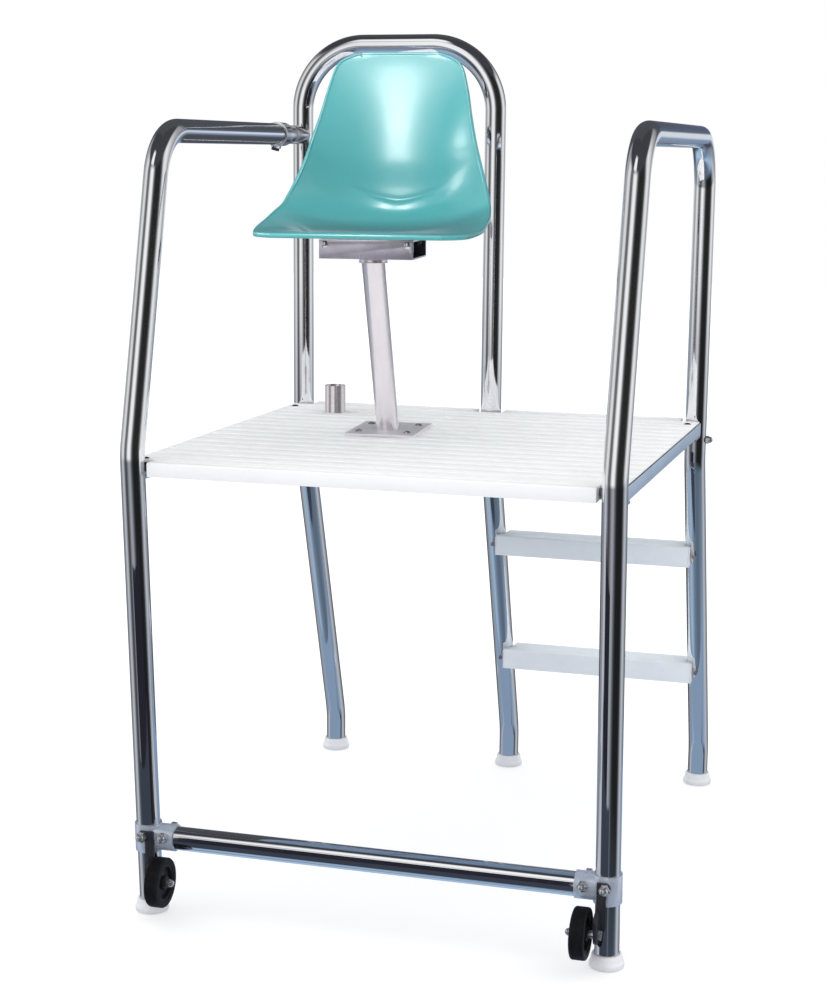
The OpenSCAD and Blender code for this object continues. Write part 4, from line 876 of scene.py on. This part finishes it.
def along(points, s):
    """A smooth curve through points, at a place counted in points."""
    i = min(int(s), len(points) - 2)
    t = s - i
    a, b, c, d = (Vector(points[min(max(k, 0), len(points) - 1)]) for k in range(i - 1, i + 3))
    return 0.5 * (2 * b + (c - a) * t + (2 * a - 5 * b + 4 * c - d) * t * t
                  + (3 * b - a - 3 * c + d) * t ** 3)


print("middle line", len(MIDDLE), "points, side edge", len(SIDE))

# %% [markdown]
# Between the middle line and the side edge the shell stays flat for a while and then rises, so the
# way across is bent by a power. Where the back meets the cushion, the mould left a shallow fold. It
# is added to the height of the surface, square to the shell there.

# %% Seat surface
SIDE_LIFT = 2.3
FOLD_AT, FOLD_RISE, FOLD_REACH = 8.36, 0.85, 0.60
FOLD_FORWARD, FOLD_UP = 0.8, 0.6


def crease(s, t):
    """Height of the fold in millimetres: a groove over a soft swell, in a wide V."""
    fold = FOLD_AT + FOLD_RISE * abs(t)
    fade = max(0.0, 1 - (abs(t) / FOLD_REACH) ** 2) ** 0.7
    groove = -4.4 * math.exp(-((s - fold) / 0.11) ** 2)
    swell = 6.0 * math.exp(-((s - fold + 0.46) / 0.34) ** 2)
    return fade * (groove + swell)


def on_seat(s, t):
    """A point of the upper face in millimetres: s runs from front to top, t from side to side."""
    middle, side, lift = along(MIDDLE, s), along(SIDE, s), abs(t) ** SIDE_LIFT
    fold = crease(s, t)
    return Vector((side[0] * t, middle[0] + (side[1] - middle[0]) * lift - FOLD_FORWARD * fold,
                   middle[1] + (side[2] - middle[1]) * lift + FOLD_UP * fold))


print("seat front", tuple(on_seat(0, 0)), "top", tuple(on_seat(len(MIDDLE) - 1, 0)))

# %% [markdown]
# A flat grid is laid over this surface. Its columns are set closer towards the two sides, where the
# shell turns up.

# %% Seat grid
SEAT_ROWS, SEAT_COLS = 112, 40


def make_shell():
    """The upper face of the shell, as a grid that looks up."""
    deselect()
    bpy.ops.mesh.primitive_grid_add(x_subdivisions=SEAT_COLS, y_subdivisions=SEAT_ROWS, size=2)
    shell = bpy.context.object
    mesh = shell.data
    for vertex in mesh.vertices:
        s = (vertex.co.y + 1) / 2 * (len(MIDDLE) - 1)
        t = math.sin(vertex.co.x * math.pi / 2)
        vertex.co = on_seat(s, t) / 1000
    bpy.ops.object.mode_set(mode="EDIT")
    bpy.ops.mesh.select_all(action="SELECT")
    bpy.ops.mesh.normals_make_consistent(inside=False)
    bpy.ops.object.mode_set(mode="OBJECT")
    if mesh.polygons[len(mesh.polygons) // 3].normal.z < 0:
        mesh.flip_normals()
    return shell


shell = make_shell()
print("grid", len(shell.data.polygons), "faces")

# %% [markdown]
# Each point of the border has its own way out, square to the edge, and its own way down, against
# the normal of the face. The lip's section is written once as places along these two ways, and
# every point of the border follows it. Solidify then gives the whole shell its wall, round the lip
# too, and a subdivision surface its smooth flow.

# %% Seat lip
# Ways out and down from the border, in millimetres
LIP = [(1.4, -1.2), (3.6, -2.0), (5.6, -0.8), (6.2, 2.4), (5.8, 8.5)]
WALL = 0.004


def border_ways(mesh):
    """Start, way out and normal of each selected point of the border."""
    border = [v.index for v in mesh.vertices if v.select]
    inward = {i: Vector() for i in border}
    loop = {i: [] for i in border}
    for edge in mesh.edges:
        a, b = edge.vertices
        if edge.select:
            loop[a].append(b)
            loop[b].append(a)
            continue
        for here, there in ((a, b), (b, a)):
            if here in inward:
                inward[here] += mesh.vertices[there].co - mesh.vertices[here].co
    ways = []
    for i in border:
        vertex = mesh.vertices[i]
        chord = mesh.vertices[loop[i][1]].co - mesh.vertices[loop[i][0]].co
        out = chord.cross(vertex.normal).normalized()
        if out.dot(inward[i]) > 0:
            out = -out
        ways.append((vertex.co.copy(), out, vertex.normal.copy()))
    return ways


def roll_lip(shell):
    """Draws the border out and down, step by step."""
    bpy.ops.object.mode_set(mode="EDIT")
    bpy.ops.mesh.select_all(action="SELECT")
    bpy.ops.mesh.region_to_loop()
    bpy.ops.object.mode_set(mode="OBJECT")
    mesh = shell.data
    ways = border_ways(mesh)
    places = [start for start, _, _ in ways]
    for out_by, down_by in LIP:
        bpy.ops.object.mode_set(mode="EDIT")
        bpy.ops.mesh.extrude_region_move(TRANSFORM_OT_translate={"value": (0, 0, 0)})
        bpy.ops.object.mode_set(mode="OBJECT")
        moved = [start + (out * out_by - normal * down_by) / 1000 for start, out, normal in ways]
        for vertex in mesh.vertices:
            if vertex.select:
                k = min(range(len(places)), key=lambda n: (places[n] - vertex.co).length_squared)
                vertex.co = moved[k]
        places = moved


SEAT_PLACE = Matrix.Translation((SEAT_X, SEAT_Y, 1.366)) @ turned("Z", SEAT_TURN)
roll_lip(shell)
add_modifier(shell, "SOLIDIFY", thickness=WALL, offset=-1.0)
add_modifier(shell, "SUBSURF", levels=1, render_levels=1)
shell.matrix_world = SEAT_PLACE
print("shell", len(shell.data.polygons), "faces")

# %% [markdown]
# Four moulded bosses under the shell take its screws. Each is a cylinder whose rim is bevelled and
# whose upper end is drawn out a little where it runs into the shell. The seat is then handed over,
# and the lamps are linked to it. Gloss rays pass it, so that no tube turns teal.

# %% Seat bosses
BOSS_R, BOSS_H, BOSS_SPREAD = 0.016, 0.012, 1.12
# Places of the bosses from the swivel's axis
BOSS_SPOTS = [(x, y) for x in (-0.065, 0.065) for y in (-0.038, 0.062)]


def make_boss():
    """A boss that stands on the swivel's axis."""
    deselect()
    bpy.ops.mesh.primitive_cylinder_add(vertices=40, radius=BOSS_R, depth=BOSS_H,
                                        location=(0, 0, BOSS_H / 2))
    bpy.ops.object.transform_apply(location=True, rotation=True, scale=True)
    boss = bpy.context.object
    bpy.ops.object.mode_set(mode="EDIT")
    bpy.ops.mesh.select_all(action="DESELECT")
    bpy.ops.object.mode_set(mode="OBJECT")
    for face in boss.data.polygons:
        face.select = face.normal.z > 0.9
    bpy.ops.object.mode_set(mode="EDIT")
    bpy.ops.transform.resize(value=(BOSS_SPREAD, BOSS_SPREAD, 1))
    bpy.ops.object.mode_set(mode="OBJECT")
    add_modifier(boss, "BEVEL", width=0.0008, segments=2, limit_method="ANGLE")
    return boss


bosses = copies(make_boss(), len(BOSS_SPOTS))
for boss, (x, y) in zip(bosses, BOSS_SPOTS):
    boss.matrix_world = SEAT_PLACE @ Matrix.Translation((x, y, 0))
teal_shell = hand_over(join([shell] + bosses), "teal_shell", "seat_shell", angle=60)
seat_only.objects.link(teal_shell)
teal_shell.visible_glossy = False

# %% [markdown]
# ## The feet
# Each leg stands in a white rubber tip: a thick pad at the floor, a thinner cuff round the tube,
# and rounded edges. Such a form is round all about its leg, so its outline is spun once, and the
# tip is copied to the other legs.

# %% Feet
# Radius and height of each corner
FOOT_OUTLINE = [(0.0, 0.0), (0.0300, 0.0), (0.0335, 0.0012), (0.0345, 0.0045), (0.0340, 0.0105),
                (0.0318, 0.0128), (0.0308, 0.0160), (0.0302, 0.0235), (0.0290, 0.0270),
                (0.0262, 0.0280), (0.0243, 0.0268), (0.0243, 0.0080), (0.0, 0.0080)]
FEET = {"front_left_foot": (LEFT_X, FRONT_FOOT_Y), "front_right_foot": (RIGHT_X, FRONT_FOOT_Y),
        "rear_left_foot": (LEFT_X, BACK_FOOT_Y), "ladder_foot": (LADDER_X, BACK_FOOT_Y),
        "rear_right_foot": (RIGHT_X, BACK_FOOT_Y)}


def spin_outline(outline, sides):
    """Turns an outline of (radius, height) pairs round the Z axis into a closed solid."""
    deselect()
    mesh = bpy.data.meshes.new("spun")
    edges = [(i, i + 1) for i in range(len(outline) - 1)]
    mesh.from_pydata([(r, 0, z) for r, z in outline], edges, [])
    piece = bpy.data.objects.new("spun", mesh)
    bpy.context.scene.collection.objects.link(piece)
    piece.select_set(True)
    bpy.context.view_layer.objects.active = piece
    bpy.ops.object.mode_set(mode="EDIT")
    bpy.ops.mesh.select_all(action="SELECT")
    bpy.ops.mesh.spin(steps=sides, angle=math.tau, center=(0, 0, 0), axis=(0, 0, 1))
    bpy.ops.mesh.select_all(action="SELECT")
    bpy.ops.mesh.remove_doubles(threshold=2e-5)
    bpy.ops.mesh.normals_make_consistent(inside=False)
    bpy.ops.object.mode_set(mode="OBJECT")
    return piece


tips = copies(spin_outline(FOOT_OUTLINE, 64), len(FEET))
for tip, (foot_name, (x, y)) in zip(tips, FEET.items()):
    tip.location = (x, y, 0)
    hand_over(tip, foot_name.replace("foot", "tip"), foot_name)

# %% [markdown]
# ## The wheels
# Each wheel has a black rubber tyre with fine ribs round its tread, on a moulded hub. The tyre's
# outline carries the ribs, so they are real grooves. The hub is a web between a boss and a rim,
# with a raised ring on its face. Both outlines are alike on their two sides, so one half is
# written and the other is its mirror image.

# %% Tyre outline
WHEEL_X, WHEEL_Y, WHEEL_Z = 0.4355, -0.609, 0.082
TYRE_R, TYRE_HALF, HUB_R, HUB_BORE = 0.051, 0.015, 0.037, 0.00505
TREAD_RIBS, RIB_HEIGHT, SHOULDER = 9, 0.0012, 0.0035


def mirrored(half_outline):
    """A closed outline from its one side: there, back on the other side, and to the start."""
    return half_outline + [(r, -z) for r, z in half_outline[::-1]] + [half_outline[0]]


def tread_outline():
    """Ribs and grooves across the tread, as (radius, place along the axle)."""
    pitch = 2 * (TYRE_HALF - SHOULDER) / TREAD_RIBS
    low = TYRE_R - RIB_HEIGHT
    tread = []
    for i in range(TREAD_RIBS):
        start = SHOULDER - TYRE_HALF + pitch * i
        tread += [(TYRE_R, start + 0.12 * pitch), (TYRE_R, start + 0.62 * pitch),
                  (low, start + 0.74 * pitch), (low, start + 0.98 * pitch)]
    return tread


TYRE_SIDE = [(HUB_R, -TYRE_HALF + 0.0008), (HUB_R + 0.0030, -TYRE_HALF),
             (HUB_R + 0.0075, -TYRE_HALF + 0.0006), (TYRE_R - 0.0040, -TYRE_HALF),
             (TYRE_R - 0.0016, -TYRE_HALF + 0.0010), (TYRE_R - 0.0004, -TYRE_HALF + 0.0026)]
TYRE_OUTLINE = mirrored(TYRE_SIDE)
TYRE_OUTLINE[len(TYRE_SIDE):len(TYRE_SIDE)] = tread_outline()
HUB_OUTLINE = mirrored([
    (HUB_BORE, -0.0145), (0.0125, -0.0145), (0.0138, -0.0132), (0.0140, -0.0055),
    (0.0190, -0.0052), (0.0196, -0.0066), (0.0228, -0.0066), (0.0234, -0.0052),
    (0.0318, -0.0050), (0.0325, -0.0120), (0.0335, -0.0130), (HUB_R, -0.0130)])
print("tyre corners", len(TYRE_OUTLINE), "hub corners", len(HUB_OUTLINE))

# %% [markdown]
# Tyre and hub are spun once each and copied for the other side. Each is tilted so that its axis
# lies along the axle and looks outwards. They ride on the wheel's body, so both turn when it rolls.

# %% Wheels
left_wheel = [spin_outline(TYRE_OUTLINE, 96), spin_outline(HUB_OUTLINE, 72)]
right_wheel = [duplicate(piece) for piece in left_wheel]
for side_name, side, (tyre, hub) in (("left", -1, left_wheel), ("right", 1, right_wheel)):
    outwards = Vector((side, 0, 0)).to_track_quat("Z", "Y").to_matrix().to_4x4()
    place = Matrix.Translation((side * WHEEL_X, WHEEL_Y, WHEEL_Z)) @ outwards
    tyre.matrix_world = hub.matrix_world = place
    hand_over(tyre, side_name + "_ribbed_tyre", side_name + "_tyre", angle=28)
    hand_over(hub, side_name + "_moulded_hub", side_name + "_hub", angle=28)

# %% [markdown]
# ## Ready
# The boxes of the CAD model and of the visible model are printed side by side. The visible
# model has to stay in the CAD model's box.

# %% Sizes and end
SIZES = {"cad": cad_box, "visual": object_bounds()}


def plain(value):
    """Vectors and the like as plain lists of numbers."""
    if isinstance(value, (int, float)):
        return float(value)
    return [plain(v) for v in value]


{key: plain(value) for key, value in SIZES.items()}
print("sizes", {key: plain(value) for key, value in SIZES.items()})
